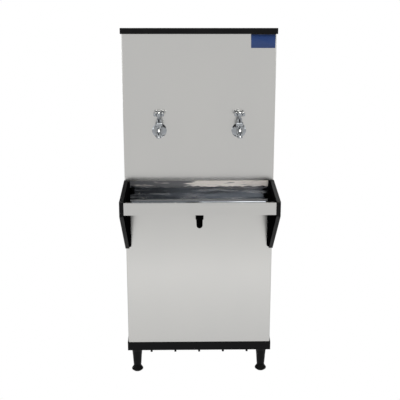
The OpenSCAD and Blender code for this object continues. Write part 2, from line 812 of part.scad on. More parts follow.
module compressor() {
  dome = comp_r / 3;
  mid = comp_h / 2;
  color("#161618") at_front() {
    translate([comp_x, comp_y, comp_z]) {
      rotate_extrude() polygon(concat(
        [[0, 0]],
        [for (k = [0 : 8]) [comp_r - dome + dome * sin(k * 90 / 8), dome * (1 - cos(k * 90 / 8))]],
        [[comp_r, mid - seam_h / 2], [comp_r + seam_r, mid - seam_h / 2],
         [comp_r + seam_r, mid + seam_h / 2], [comp_r, mid + seam_h / 2]],
        [for (k = [8 : -1 : 0])
          [comp_r - dome + dome * sin(k * 90 / 8), comp_h - dome * (1 - cos(k * 90 / 8))]],
        [[0, comp_h]]));
      // Stubs that the copper lines are brazed to
      bar_x([0, 0, suction_z - comp_z], boss_r, comp_r + boss_l);
      bar_y([0, 0, discharge_z - comp_z], boss_r, comp_r + boss_l);
    }
    difference() {
      translate([comp_x, comp_y, plate_z]) linear_extrude(plate_t)
        round_rect(2 * comp_foot_x + 2 * plate_corner_r, 2 * comp_foot_y + 2 * plate_corner_r,
                   plate_corner_r);
      compressor_feet() translate([0, 0, plate_z - over])
        cylinder(r = grommet_neck_r + seat_gap, h = plate_t + 2 * over);
    }
  }
}

module terminal_cover() {
  w = 34;
  d = 62;
  h = 74;
  color("#202022") at_front() difference() {
    translate([comp_x - comp_r - w, comp_y - d / 2, comp_z + comp_h / 2 + seam_h])
      translate([w, d / 2, 0]) linear_extrude(h - seam_h) round_rect(2 * w, d, seam_h);
    translate([comp_x, comp_y, comp_z]) cylinder(r = comp_r + seat_gap, h = comp_h + over);
  }
}

module compressor_grommets() {
  color("#2b2b2d") at_front() compressor_feet() translate([0, 0, rail_top_z]) difference() {
    union() {
      cylinder(r = grommet_r, h = grommet_h);
      cylinder(r = grommet_neck_r, h = grommet_h + plate_t + pass_gap);
    }
    translate([0, 0, -over]) cylinder(r = bolt_r + seat_gap, h = 2 * grommet_h);
  }
}

module compressor_bolts() {
  washer_t = 1.5;
  nut_h = 5;
  neck_top = rail_top_z + grommet_h + plate_t + pass_gap;
  color("#c9cbce") at_front() compressor_feet() {
    translate([0, 0, rail_top_z]) cylinder(r = bolt_r, h = neck_top - rail_top_z + 2 * nut_h);
    translate([0, 0, neck_top]) cylinder(r = grommet_r - washer_t, h = washer_t);
    translate([0, 0, neck_top]) cylinder(r = 2 * bolt_r, h = nut_h + washer_t, $fn = hex);
  }
}

// Condenser
lug_w = 10;
lug_clear = 5;
cond_lift = 42;
cond_tail_out = 16;
cond_tail_drop = 40;
cond_y = cab_d + cond_stand;
cond_z = rear_panel_z + cond_lift;
cond_top_z = cond_z + (cond_rows - 1) * cond_pitch;
cond_bend = cond_pitch / 2;
cond_half = cond_wire_pitch * (cond_wires - 1) / 2 + lug_w + 2 * lug_clear;
cond_turn_x = cond_half + cond_bend;
cond_tail_x = cond_turn_x + cond_tail_out;
cond_tail_z = rear_panel_z - cond_tail_drop;
lug_h = 14;
lug_foot_h = 34;
lug_wall = 3;
wire_over = 12;
drier_r = 10;
drier_l = 90;
drier_back = 45;
drier_y = cab_d - drier_back;
drier_lift = 230;
drier_top_z = floor_z + drier_lift;

function row_z(i) = cond_top_z - i * cond_pitch;
function row_side(i) = i % 2 == 0 ? 1 : -1;

cond_path = concat(
  [[cond_tail_x, cond_y, cond_tail_z]],
  [for (i = [0 : cond_rows - 1]) each [
    [row_side(i) * (i == 0 ? cond_tail_x : cond_turn_x), cond_y, row_z(i)],
    [-row_side(i) * (i == cond_rows - 1 ? cond_tail_x : cond_turn_x), cond_y, row_z(i)]]],
  [[-cond_tail_x, cond_y, drier_top_z + 2 * cond_bend],
   [-cond_tail_x, drier_y, drier_top_z + 2 * cond_bend], [-cond_tail_x, drier_y, drier_top_z]]);

module condenser_tube() {
  color("#1f1f21") at_front() bent_tube(cond_path, cond_tube_r, cond_bend);
}

module condenser_wires() {
  off = cond_tube_r + cond_wire_r + wire_gap;
  l = cond_top_z - cond_z + 2 * wire_over;
  color("#1f1f21") at_front()
    for (side = [-1, 1], i = [0 : cond_wires - 1])
      translate([(i - (cond_wires - 1) / 2) * cond_wire_pitch, cond_y + side * off,
                 cond_z - wire_over])
        cylinder(r = cond_wire_r, h = l);
}

module condenser_lugs() {
  color("#1b1b1d") at_front()
    for (x = [-1, 1], i = [1, cond_rows - 2])
      translate([x * (cond_half - lug_clear - lug_w / 2), 0, row_z(i)]) difference() {
        union() {
          translate([-lug_w / 2, cab_d, -lug_h / 2])
            cube([lug_w, cond_stand + cond_tube_r + lug_wall / 2, lug_h]);
          translate([-lug_w / 2, cab_d, -lug_foot_h / 2]) cube([lug_w, lug_wall, lug_foot_h]);
        }
        bar_x([-lug_w, cond_y, 0], cond_tube_r + run_gap, 2 * lug_w);
      }
}

// Copper lines
capillary_bend = 8;
line_bend = 15;

module filter_drier() {
  neck_r = 4;
  neck_l = 14;
  cone_l = 12;
  color("#b87148") at_front() translate([-cond_tail_x, drier_y, drier_top_z - drier_l])
    rotate_extrude() polygon([
      [0, 0], [neck_r, 0], [neck_r, neck_l - cone_l / 2], [drier_r, neck_l + cone_l / 2],
      [drier_r, drier_l - neck_l - cone_l / 2], [neck_r, drier_l - neck_l + cone_l / 2],
      [neck_r, drier_l], [0, drier_l]]);
}

module discharge_line() {
  start = comp_y + comp_r + boss_l;
  color("#b87148") at_front() bent_tube([
    [comp_x, start, discharge_z], [comp_x, start + 2 * line_bend, discharge_z],
    [cond_tail_x, start + 2 * line_bend, discharge_z],
    [cond_tail_x, start + 2 * line_bend, discharge_z + 4 * line_bend],
    [cond_tail_x, cond_y, discharge_z + 4 * line_bend], [cond_tail_x, cond_y, cond_tail_z]],
    discharge_r, line_bend);
}

module capillary_tube() {
  low_z = floor_z + rail_h + 3 * line_bend / 2;
  end_y = tank_y + coil_corner_y + coil_tail;
  color("#b87148") at_front() bent_tube([
    [-cond_tail_x, drier_y, drier_top_z - drier_l], [-cond_tail_x, drier_y, low_z],
    [-cond_tail_x, capillary_y, low_z], [suction_x, capillary_y, low_z],
    [suction_x, capillary_y, coil_z + coil_turns * coil_pitch],
    [suction_x, end_y, coil_z + coil_turns * coil_pitch]], capillary_r, capillary_bend);
}

module suction_line() {
  start = comp_x + comp_r + boss_l;
  end_y = tank_y + coil_corner_y - coil_tail;
  color("#b87148") at_front() bent_tube([
    [start, comp_y, suction_z], [suction_x, comp_y, suction_z],
    [suction_x, comp_y, shelf_z - 8 * line_bend], [suction_x, suction_y, shelf_z - 8 * line_bend],
    [suction_x, suction_y, coil_z], [suction_x, end_y, coil_z]], suction_r, suction_bend);
}

// Cable gland for the mains lead
module cable_gland() {
  bore_r = 3.6;
  flange_r = 10.5;
  cap_l = 16;
  flange_t = 4;
  nut_t = 5;
  color("#232326") at_front() translate([gland_x, cab_d - sheet_t, gland_z])
    rotate([-90, 0, 0]) difference() {
      union() {
        translate([0, 0, -sheet_t - nut_t - flange_t]) cylinder(r = gland_r, h = nut_t + 2 * flange_t);
        translate([0, 0, seat_gap / 2]) rotate(30) cylinder(r = flange_r, h = flange_t, $fn = hex);
        translate([0, 0, flange_t]) cylinder(r1 = flange_r * cos(30), r2 = gland_r, h = cap_l - flange_t);
        translate([0, 0, -sheet_t - nut_t - seat_gap / 2])
          rotate(30) cylinder(r = flange_r, h = nut_t, $fn = hex);
      }
      translate([0, 0, -4 * cap_l]) cylinder(r = bore_r, h = 8 * cap_l);
    }
}

// Drip tray
bracket_proud = 1.6;
bracket_out = cab_w / 2 + bracket_proud;
tip_d = 12;
nose_round = 4;
tip_round = 5;
cheek_step = 6;
trough_top_drop = 3;
trough_half = cab_w / 2 + bracket_proud - bracket_rim_t - bracket_cheek_t - seat_gap;
waste_y = -115;
waste_flat = 25;
trough_back_low = 92;
trough_low = 104;
trough_front_low = 82;
trough_front_in = 8.4;
trough_front_top = 38.5;
band_top_drop = 37;
band_front_in = 4.4;
tray_low_z = bracket_top_z - trough_low;

bracket_screw_x = bracket_out - (bracket_rim_t + bracket_cheek_t) / 2;
bracket_screw_shares = [0.55, 0.88];
bracket_screw_heights = [for (share = bracket_screw_shares) bracket_top_z - bracket_h * share];

// Side outline of a bracket, drawn in by s along its free edges and out by o at the back
function bracket_outline(s, o = 0) = [
  [o, bracket_top_z - s], [s - tray_reach, bracket_top_z - bracket_fall - s],
  [s - tray_reach, bracket_top_z - bracket_fall - bracket_nose_h + s],
  [-tip_d + s / 2, bracket_top_z - bracket_h + s], [o, bracket_top_z - bracket_h + s]];

module bracket_layer(x, t, s) {
  translate([x, 0, 0]) rotate([90, 0, 90]) linear_extrude(t)
    polygon(rounded_loop(bracket_outline(s), [0, nose_round, nose_round, tip_round, tip_round]));
}

// Right-hand bracket; the left one is its mirror image
module tray_bracket() {
  boss_half = 6;
  skin = 4;
  x0 = bracket_out - bracket_rim_t - bracket_cheek_t;
  at_front() difference() {
    union() {
      bracket_layer(bracket_out - bracket_rim_t, bracket_rim_t, 0);
      bracket_layer(x0, bracket_cheek_t + over, cheek_step);
    }
    // The moulding is cored from the back, between ribs that take the screws
    difference() {
      translate([x0 + skin, 0, 0]) rotate([90, 0, 90])
        linear_extrude(bracket_rim_t + bracket_cheek_t - 2 * skin)
          polygon(bracket_outline(cheek_step + skin, over));
      for (z = bracket_screw_heights)
        translate([0, -tray_reach, z - boss_half]) cube([cab_w, 2 * tray_reach, 2 * boss_half]);
    }
    for (z = bracket_screw_heights)
      bar_y([bracket_screw_x, -screw_l, z], screw_r + run_gap, screw_l + over);
  }
}

module tray_trough() {
  path = rounded_path([
    [-seat_gap - sheet_t, bracket_top_z - trough_top_drop],
    [-seat_gap - sheet_t, bracket_top_z - trough_back_low],
    [waste_y + waste_flat, tray_low_z], [waste_y - waste_flat, tray_low_z],
    [trough_front_in - tray_reach, bracket_top_z - trough_front_low],
    [trough_front_in - tray_reach, bracket_top_z - trough_front_top]], trough_bend);
  color("#c5c8ca") at_front() difference() {
    across(2 * trough_half) polygon(sheet_outline(path, sheet_t));
    translate([0, waste_y, tray_low_z - 2 * over - sheet_t])
      cylinder(r = waste_tail_r + seat_gap, h = sheet_t + 4 * over);
  }
}

module tray_front_band() {
  front = band_front_in - tray_reach;
  top = bracket_top_z - band_top_drop;
  hook = 12;
  hook_h = 10;
  hem = 2;
  wide = bracket_out - bracket_rim_t - seat_gap;
  color("#bdbcb8") at_front() {
    across(2 * wide) translate([front, top - band_h]) square([sheet_t, band_h]);
    across(2 * trough_half) polygon(sheet_outline([
      [front + hook, top - hook_h], [front + hook, top], [front, top], [front, top - band_h],
      [front + hem, top - band_h]], sheet_t));
  }
}

module tray_bracket_screws() {
  color("#c9cbce") at_front()
    for (x = [-1, 1], z = bracket_screw_heights) screw_y([x * bracket_screw_x, sheet_t, z]);
}

// Tray waste
waste_tail_r = 12;
waste_head_r = 24;
strainer_t = 1.5;
nut_r = 15.1;
nut_h = 22;
nut_flutes = 8;
elbow_r = 11.7;
elbow_bend = 13;
elbow_in = 24;
elbow_drop = 50;
elbow_z = tray_low_z - elbow_drop;
strainer_tail = 26;
nut_low_z = tray_low_z - sheet_t - nut_h;

module waste_strainer() {
  slots = 8;
  slot_r = 2.2;
  slot_ring_share = 0.62;
  color("#cfd2d4") at_front() translate([0, waste_y, tray_low_z]) difference() {
    union() {
      translate([0, 0, seat_gap / 2]) cylinder(r = waste_head_r, h = strainer_t);
      translate([0, 0, strainer_t - strainer_tail]) cylinder(r = waste_tail_r, h = strainer_tail);
    }
    translate([0, 0, -strainer_tail]) cylinder(r = waste_tail_r - strainer_t, h = strainer_tail);
    for (i = [0 : slots - 1])
      rotate(i * 360 / slots) translate([waste_tail_r * slot_ring_share, 0, -over])
        cylinder(r = slot_r, h = strainer_t + 2 * over);
  }
}

module waste_nut() {
  flute_r = 3;
  color("#1d1d1f") at_front() translate([0, waste_y, nut_low_z]) difference() {
    cylinder(r = nut_r, h = nut_h);
    translate([0, 0, -over]) cylinder(r = waste_tail_r + run_gap, h = nut_h + 2 * over);
    for (i = [0 : nut_flutes - 1])
      rotate((i + 1 / 2) * 360 / nut_flutes) translate([nut_r + flute_r * 3 / 4, 0, -over])
        cylinder(r = flute_r, h = nut_h - 2 * over);
  }
}

module waste_elbow() {
  color("#1d1d1f") at_front() bent_tube([
    [0, waste_y, tray_low_z + strainer_t - strainer_tail - seat_gap], [0, waste_y, elbow_z],
    [0, elbow_in, elbow_z]], elbow_r, elbow_bend);
}

waste_x = cab_w / 2 - service_inset;
waste_out_drop = 102;
waste_out_z = elbow_z - waste_out_drop;
waste_bend = 30;

module waste_pipe() {
  wall = 1.8;
  spigot_t = 0.3;
  color("#8f8f8c") at_front() difference() {
    union() {
      bent_tube([[0, elbow_in, elbow_z], [0, elbow_in + 3 * waste_bend, elbow_z],
        [0, elbow_in + 3 * waste_bend, waste_out_z],
        [-waste_x, elbow_in + 3 * waste_bend, waste_out_z],
        [-waste_x, cab_d + waste_reach, waste_out_z]], waste_r, waste_bend);
      bar_y([-waste_x, cab_d + over, waste_out_z], waste_r + spigot_t, waste_reach - over);
    }
    bar_y([-waste_x, cab_d - waste_bend, waste_out_z], waste_r - wall, 2 * waste_bend);
  }
}

// Taps, drawn round the inlet axis at the front sheet
chamber_round = 7;
chamber_low = 14;
chamber_top = 22;
seat_level = 1;
seat_bore_r = 4.5;
seat_wall = 2;
chamber_bore_r = 9.5;
spout_lift = 7;
spout_straight = 15;
mouth_l = 9;
mouth_r = 9.7;
flange_t = 6;
inlet_bore_r = 6.5;
barrel_r = 10.5;
bonnet_hex_r = 15.5;
bonnet_hex_h = 13;
bonnet_neck_r = 9;
bonnet_neck_h = 15;
bonnet_skirt = 8;
bonnet_flare = 2;
jumper_r = 6.7;
jumper_h = 19;
jumper_bore = 12;
jumper_gap = 0.2;
stem_play = 1;
shank_in = 14;
shank_end = tank_y - tank_d / 2 + tank_wall + shank_in;
stem_foot = seat_level + jumper_gap + jumper_h - jumper_bore + jumper_lift + stem_play;
handle_z = tap_rise - handle_h;
lobe_r = 7.8;

module at_tap(side) {
  translate([side * tap_pitch / 2, front_y, tap_z]) children();
}

module tap_body(side) {
  spout_y = -tap_axis_out - spout_straight - spout_bend;
  color("#d3d6d8") at_tap(side) difference() {
    union() {
      bar_y([0, -tap_axis_out, 0], barrel_r, tap_axis_out);
      bar_y([0, -flange_t, 0], tap_shank_r, flange_t + shank_end);
      translate([0, -tap_axis_out, -chamber_low + chamber_round])
        cylinder(r = tap_chamber_r, h = chamber_top + chamber_low - chamber_round);
      translate([0, -tap_axis_out, -chamber_low]) rotate_extrude() polygon(concat([[0, 0]],
        [for (k = [0 : 6]) [tap_chamber_r - chamber_round * (1 - sin(k * 15)),
                            chamber_round * (1 - cos(k * 15))]], [[0, chamber_round]]));
      bent_tube([[0, -tap_axis_out, spout_lift], [0, spout_y, spout_lift],
        [0, spout_y, spout_lift - spout_bend - mouth_l]], spout_r, spout_bend);
      translate([0, spout_y, spout_lift - spout_bend - mouth_l]) cylinder(r = mouth_r, h = mouth_l / 2);
    }
    // Inlet way, seat, chamber and spout way
    bar_y([0, -tap_axis_out + chamber_bore_r + seat_wall, 0], inlet_bore_r, shank_end + tap_axis_out);
    bar_y([0, -tap_axis_out, -seat_bore_r - seat_wall], seat_bore_r,
          chamber_bore_r + seat_wall + over);
    translate([0, -tap_axis_out, -seat_bore_r - seat_wall])
      cylinder(r = seat_bore_r, h = chamber_top);
    translate([0, -tap_axis_out, seat_level]) cylinder(r = chamber_bore_r, h = chamber_top);
    bent_tube([[0, -tap_axis_out, spout_lift], [0, spout_y, spout_lift],
      [0, spout_y, spout_lift - 2 * spout_bend - mouth_l]], spout_bore_r, spout_bend);
  }
}

module tap_flanges() {
  rim_t = 2;
  color("#d3d6d8") for (side = [-1, 1]) at_tap(side) rotate([90, 0, 0]) rotate_extrude()
    polygon(concat([[barrel_r + run_gap, seat_gap], [tap_flange_r, seat_gap]],
      [for (k = [0 : 6]) [barrel_r + run_gap + (tap_flange_r - barrel_r - run_gap) * cos(k * 15),
                          rim_t + (flange_t - rim_t) * sin(k * 15)]]));
}

module tap_backnuts() {
  h = 8;
  r = 15;
  y = tank_y - tank_d / 2 + tank_wall;
  color("#c39a56") for (side = [-1, 1]) at_tap(side) difference() {
    translate([0, y, 0]) rotate([-90, 0, 0]) cylinder(r = r, h = h, $fn = hex);
    bar_y([0, y - over, 0], tap_shank_r + run_gap, h + 2 * over);
  }
}

module tap_bonnets() {
  bore_top = jumper_lift + seat_level + jumper_gap + jumper_h + over;
  top = chamber_top + bonnet_hex_h;
  color("#d3d6d8") for (side = [-1, 1]) at_tap(side) translate([0, -tap_axis_out, 0]) difference() {
    union() {
      translate([0, 0, chamber_top]) cylinder(r = bonnet_hex_r, h = bonnet_hex_h, $fn = hex);
      translate([0, 0, chamber_top - bonnet_skirt])
        cylinder(r = chamber_bore_r - run_gap, h = bonnet_skirt + over);
      translate([0, 0, top])
        cylinder(r1 = bonnet_neck_r + bonnet_flare, r2 = bonnet_neck_r, h = bonnet_neck_h);
    }
    cylinder(r = jumper_r + run_gap, h = bore_top);
    cylinder(r = stem_r + run_gap, h = 2 * tap_rise);
  }
}

module tap_stem(side) {
  collar_r = 6;
  collar_h = 3;
  top = tap_rise - handle_h / 4;
  color("#c39a56") at_tap(side) translate([0, -tap_axis_out, 0]) {
    translate([0, 0, stem_foot]) cylinder(r = stem_r, h = top - stem_foot);
    translate([0, 0, chamber_top + bonnet_hex_h + bonnet_neck_h + seat_gap])
      cylinder(r = collar_r, h = collar_h);
  }
}

module tap_handle(side) {
  low = handle_z;
  edge = 2.5;
  waist = 5;
  // Turned profile with rounded edges
  module rounded_post(r, h) {
    rotate_extrude() polygon(concat([[0, 0]],
      [for (k = [0 : 4]) [r - edge + edge * sin(k * 90 / 4), edge * (1 - cos(k * 90 / 4))]],
      [for (k = [4 : -1 : 0]) [r - edge + edge * sin(k * 90 / 4), h - edge * (1 - cos(k * 90 / 4))]],
      [[0, h]]));
  }
  color("#dadcde") at_tap(side) translate([0, -tap_axis_out, low]) difference() {
    union() {
      for (i = [0 : 3]) rotate(i * 90) {
        translate([handle_r - lobe_r, 0, waist / 2]) rounded_post(lobe_r, handle_h - waist);
      }
      cylinder(r = lobe_r + edge, h = handle_h - edge);
      translate([0, 0, handle_h - edge]) cylinder(r1 = lobe_r, r2 = lobe_r - edge, h = edge);
    }
    translate([0, 0, -over]) cylinder(r = stem_r + run_gap, h = over + handle_h * 3 / 4 + seat_gap);
  }
}

module tap_jumper(side) {
  washer_h = 3;
  color("#4a4a4c") at_tap(side) translate([0, -tap_axis_out, seat_level + jumper_gap]) difference() {
    cylinder(r = jumper_r, h = jumper_h);
    translate([0, 0, jumper_h - jumper_bore]) cylinder(r = stem_r + seat_gap, h = jumper_bore + over);
    // Groove between the rubber washer and its holder
    translate([0, 0, washer_h]) difference() {
      cylinder(r = 2 * jumper_r, h = seat_gap);
      translate([0, 0, -over]) cylinder(r = jumper_r - 2 * seat_gap, h = 3 * over);
    }
  }
}

base();
leg(-1, -1);  // leg_front_left
leg(1, -1);  // leg_front_right
leg(-1, 1);  // leg_rear_left
leg(1, 1);  // leg_rear_right
foot(-1, -1);  // foot_front_left
foot(1, -1);  // foot_front_right
foot(-1, 1);  // foot_rear_left
foot(1, 1);  // foot_rear_right
cabinet_front();
cabinet_sides();
rear_panel();
rear_panel_screws();
tank_shelf();
tank_jacket();
tank();
evaporator_coil();
lid();
lid_plug();
float_valve();
float_valve_nuts();
float_pin();
float_plunger();
float_arm();
float_ball();
thermostat();
thermostat_knob();
compressor_rails();
compressor();
terminal_cover();
compressor_grommets();
compressor_bolts();
condenser_tube();
condenser_wires();
condenser_lugs();
filter_drier();
capillary_tube();
discharge_line();
suction_line();
waste_pipe();
cable_gland();
tray_trough();
tray_front_band();
color("#1b1b1d") mirror([1, 0, 0]) tray_bracket();  // tray_bracket_left
color("#1b1b1d") tray_bracket();  // tray_bracket_right
tray_bracket_screws();
waste_strainer();
waste_nut();
waste_elbow();
tap_body(-1);  // tap_body_left
tap_body(1);  // tap_body_right
tap_flanges();
tap_backnuts();
tap_bonnets();
tap_stem(-1);  // tap_stem_left
tap_stem(1);  // tap_stem_right
tap_handle(-1);  // tap_handle_left
tap_handle(1);  // tap_handle_right
tap_jumper(-1);  // tap_jumper_left
tap_jumper(1);  // tap_jumper_right
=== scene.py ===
import json
import math

import bmesh
import bpy
from mathutils import Matrix, Vector


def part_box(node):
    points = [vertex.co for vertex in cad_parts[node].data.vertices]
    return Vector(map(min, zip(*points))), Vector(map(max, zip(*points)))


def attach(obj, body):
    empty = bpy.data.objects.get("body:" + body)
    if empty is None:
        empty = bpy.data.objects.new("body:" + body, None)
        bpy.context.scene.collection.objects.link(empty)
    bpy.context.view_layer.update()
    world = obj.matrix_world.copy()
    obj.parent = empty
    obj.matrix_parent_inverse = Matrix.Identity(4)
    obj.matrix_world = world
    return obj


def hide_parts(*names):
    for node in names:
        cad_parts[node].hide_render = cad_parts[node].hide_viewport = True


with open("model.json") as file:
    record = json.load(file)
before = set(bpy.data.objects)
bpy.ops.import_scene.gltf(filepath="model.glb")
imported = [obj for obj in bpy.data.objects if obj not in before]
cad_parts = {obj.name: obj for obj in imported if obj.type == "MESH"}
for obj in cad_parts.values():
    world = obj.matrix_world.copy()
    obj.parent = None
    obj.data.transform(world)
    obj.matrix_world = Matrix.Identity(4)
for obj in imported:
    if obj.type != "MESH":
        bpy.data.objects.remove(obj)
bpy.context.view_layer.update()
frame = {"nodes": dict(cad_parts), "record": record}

scene = bpy.context.scene

# Camera
# The photograph is taken a little left of the middle, from the height of the lid, looking down.
# The numbers come from a camera fitted to the edges of the cabinet, the lid, the tray and the base.
camera_place = (-0.0412, -2.8719, 1.392)
camera_pitch = 0.2343
camera_yaw = -0.01624
camera_lens = 64.87
lens_sensor = 36.0
camera_far = 60.0

camera_data = bpy.data.cameras.new("camera")
camera_data.lens = camera_lens
camera_data.sensor_width = lens_sensor
camera_data.clip_end = camera_far
camera = bpy.data.objects.new("camera", camera_data)
camera.location = camera_place
camera.rotation_euler = (math.pi / 2 - camera_pitch, 0.0, camera_yaw)
scene.collection.objects.link(camera)
scene.camera = camera

# Studio
# A plain pale floor in a white room, as in a catalogue picture. The camera sees floor and room as white.
# Polished metal sees what a real studio has: softboxes at the sides and overhead, and dark gaps between.
scene.view_settings.view_transform = "Standard"
scene.view_settings.look = "None"

# Greys of the room from straight down to straight up, and of the floor from the cooler towards the camera
room_tones = ((0.0, 0.45), (0.44, 0.70), (0.50, 0.70), (0.555, 0.68), (0.585, 0.05), (0.78, 0.04),
              (0.86, 0.4), (1.0, 0.8))
floor_tones = ((0.0, 0.63), (0.10, 0.76), (0.20, 0.84), (0.28, 0.90), (0.38, 0.80), (0.55, 0.69),
               (1.0, 0.69))
down_to_up = (-1.0, 1.0)
cooler_to_camera = (0.0, -5.0)
floor_reach = 9


def white_to_camera(tree, output, shader, coordinate, axis, reach, tones):
    """Fills a node tree with a surface that is white to the camera. All else sees it in greys that
    follow one axis, set by (place, grey) tones along its reach."""
    tree.nodes.clear()
    out, mix, path, white, grey, coord, split, along, ramp = (
        tree.nodes.new("ShaderNode" + kind) for kind in (
            output, "MixShader", "LightPath", shader, shader, "TexCoord", "SeparateXYZ", "MapRange",
            "ValToRGB"))
    white.inputs["Color"].default_value = (1, 1, 1, 1)
    along.inputs["From Min"].default_value, along.inputs["From Max"].default_value = reach
    stops = ramp.color_ramp.elements
    while len(stops) > 1:
        stops.remove(stops[-1])
    for i, (place, tone) in enumerate(tones):
        stop = stops[0] if i == 0 else stops.new(place)
        stop.position = place
        stop.color = (tone, tone, tone, 1.0)
    for source, target in (
            (coord.outputs[coordinate], split.inputs[0]), (split.outputs[axis], along.inputs["Value"]),
            (along.outputs[0], ramp.inputs["Fac"]), (ramp.outputs["Color"], grey.inputs["Color"]),
            (path.outputs["Is Camera Ray"], mix.inputs[0]), (grey.outputs[0], mix.inputs[1]),
            (white.outputs[0], mix.inputs[2]), (mix.outputs[0], out.inputs["Surface"])):
        tree.links.new(source, target)


world = bpy.data.worlds.new("studio")
scene.world = world
world.use_nodes = True
white_to_camera(world.node_tree, "OutputWorld", "Background", "Generated", "Z", down_to_up, room_tones)

floor_mesh = bpy.data.meshes.new("studio_floor")
floor_mesh.from_pydata(
    [(x * floor_reach, y * floor_reach, 0) for x, y in ((-1, -1), (1, -1), (1, 1), (-1, 1))],
    [], [(0, 1, 2, 3)])
studio_floor = bpy.data.objects.new("studio_floor", floor_mesh)
scene.collection.objects.link(studio_floor)
floor_paint = bpy.data.materials.new("floor_paint")
floor_paint.use_nodes = True
white_to_camera(floor_paint.node_tree, "OutputMaterial", "Emission", "Object", "Y", cooler_to_camera,
                floor_tones)
floor_mesh.materials.append(floor_paint)

# Each softbox: name, place, the place it is aimed at, width and height, power, colour
neutral, warm, warmer = (1, 1, 1), (1.0, 0.96, 0.90), (1.0, 0.94, 0.86)
softboxes = (
    ("softbox_left", (-2.6, -2.2, 2.1), (0, 0, 0.8), (1.4, 2.4), 12, neutral),
    ("softbox_right", (2.7, -1.9, 2.2), (0, 0, 0.8), (1.3, 2.4), 11, neutral),
    ("softbox_top_left", (-0.58, -0.9, 3.6), (-0.5, -0.1, 0.9), (1.1, 1.0), 20, warm),
    ("softbox_top_right", (0.56, -0.9, 3.6), (0.5, -0.1, 0.9), (1.1, 1.0), 60, warmer),
    ("softbox_back", (1.6, 2.8, 2.6), (0, 0.2, 0.8), (1.6, 1.6), 20, neutral),
    ("softbox_back_left", (-2.2, 2.4, 1.6), (0, 0.2, 0.7), (1.2, 1.8), 13, neutral),
)
for name, place, aim, size, power, tint in softboxes:
    light = bpy.data.lights.new(name, "AREA")
    light.shape = "RECTANGLE"
    light.size, light.size_y = size
    light.energy = power
    light.color = tint
    softbox = bpy.data.objects.new(name, light)
    softbox.location = place
    softbox.rotation_euler = (Vector(aim) - Vector(place)).to_track_quat("-Z", "Y").to_euler()
    scene.collection.objects.link(softbox)

# Base
# One black plastic moulding: a floor with a lip round the foot of the cabinet, ribs underneath and
# bosses for the legs. Its edges are rounded as the mould leaves them, and its faces are finely grained.


def effect(name, inputs, outputs=("Colour", "Roughness", "Height")):
    """A shader node group. An input with three numbers is a colour, and so is the output Colour.
    Returns the group, the sockets that come in and the sockets to put out."""
    group = bpy.data.node_groups.new(name, "ShaderNodeTree")
    for label, default in inputs.items():
        is_colour = isinstance(default, tuple)
        socket = group.interface.new_socket(
            name=label, in_out="INPUT", socket_type="NodeSocketColor" if is_colour else "NodeSocketFloat")
        socket.default_value = (*default, 1.0) if is_colour else default
    for label in outputs:
        group.interface.new_socket(
            name=label, in_out="OUTPUT",
            socket_type="NodeSocketColor" if label == "Colour" else "NodeSocketFloat")
    return group, group.nodes.new("NodeGroupInput").outputs, group.nodes.new("NodeGroupOutput").inputs


def placed_noise(group, scale, detail=2.0, roughness=0.5, stretch=(1, 1, 1)):
    """Noise on the object's own coordinates, which are first multiplied by the stretch."""
    coord = group.nodes.new("ShaderNodeTexCoord")
    mapping = group.nodes.new("ShaderNodeMapping")
    mapping.inputs["Scale"].default_value = stretch
    noise = group.nodes.new("ShaderNodeTexNoise")
    noise.inputs["Scale"].default_value = scale
    noise.inputs["Detail"].default_value = detail
    noise.inputs["Roughness"].default_value = roughness
    group.links.new(coord.outputs["Object"], mapping.inputs["Vector"])
    group.links.new(mapping.outputs[0], noise.inputs["Vector"])
    return noise.outputs["Fac"]


def ranged(source, low, high, out_low=0.0, out_high=1.0):
    """Maps a value from one range to another, held inside it. Each end is a number or a socket."""
    tree = source.id_data
    node = tree.nodes.new("ShaderNodeMapRange")
    for label, end in (("From Min", low), ("From Max", high), ("To Min", out_low), ("To Max", out_high)):
        if isinstance(end, bpy.types.NodeSocket):
            tree.links.new(end, node.inputs[label])
        else:
            node.inputs[label].default_value = end
    tree.links.new(source, node.inputs["Value"])
    return node.outputs[0]


def blended(factor, a, b):
    """Mixes two colours by a factor."""
    tree = factor.id_data
    mix = tree.nodes.new("ShaderNodeMix")
    mix.data_type = "RGBA"
    factor_in, colour_a, colour_b, colour_out = mix.inputs[0], mix.inputs[6], mix.inputs[7], mix.outputs[2]
    for source, target in ((factor, factor_in), (a, colour_a), (b, colour_b)):
        tree.links.new(source, target)
    return colour_out


def put_out(group_out, **values):
    """Links values to the outputs of their group."""
    for label, source in values.items():
        source.id_data.links.new(source, group_out[label])


# Moulded grain: fine spark-eroded texture, with slow patches of dust and handling
moulded_grain, grain_in, grain_out = effect(
    "moulded_grain",
    {"Colour": (0.02, 0.02, 0.022), "Dusty": (0.06, 0.06, 0.06), "Smooth": 0.35, "Dull": 0.55})
grain_fine = placed_noise(moulded_grain, scale=1400, detail=1.0)
grain_slow = placed_noise(moulded_grain, scale=14, detail=4.0, roughness=0.6)
grain_dust = ranged(grain_slow, low=0.42, high=0.72)
put_out(grain_out, Colour=blended(grain_dust, grain_in["Colour"], grain_in["Dusty"]),
        Roughness=ranged(grain_slow, 0.35, 0.70, grain_in["Smooth"], grain_in["Dull"]),
        Height=grain_fine)


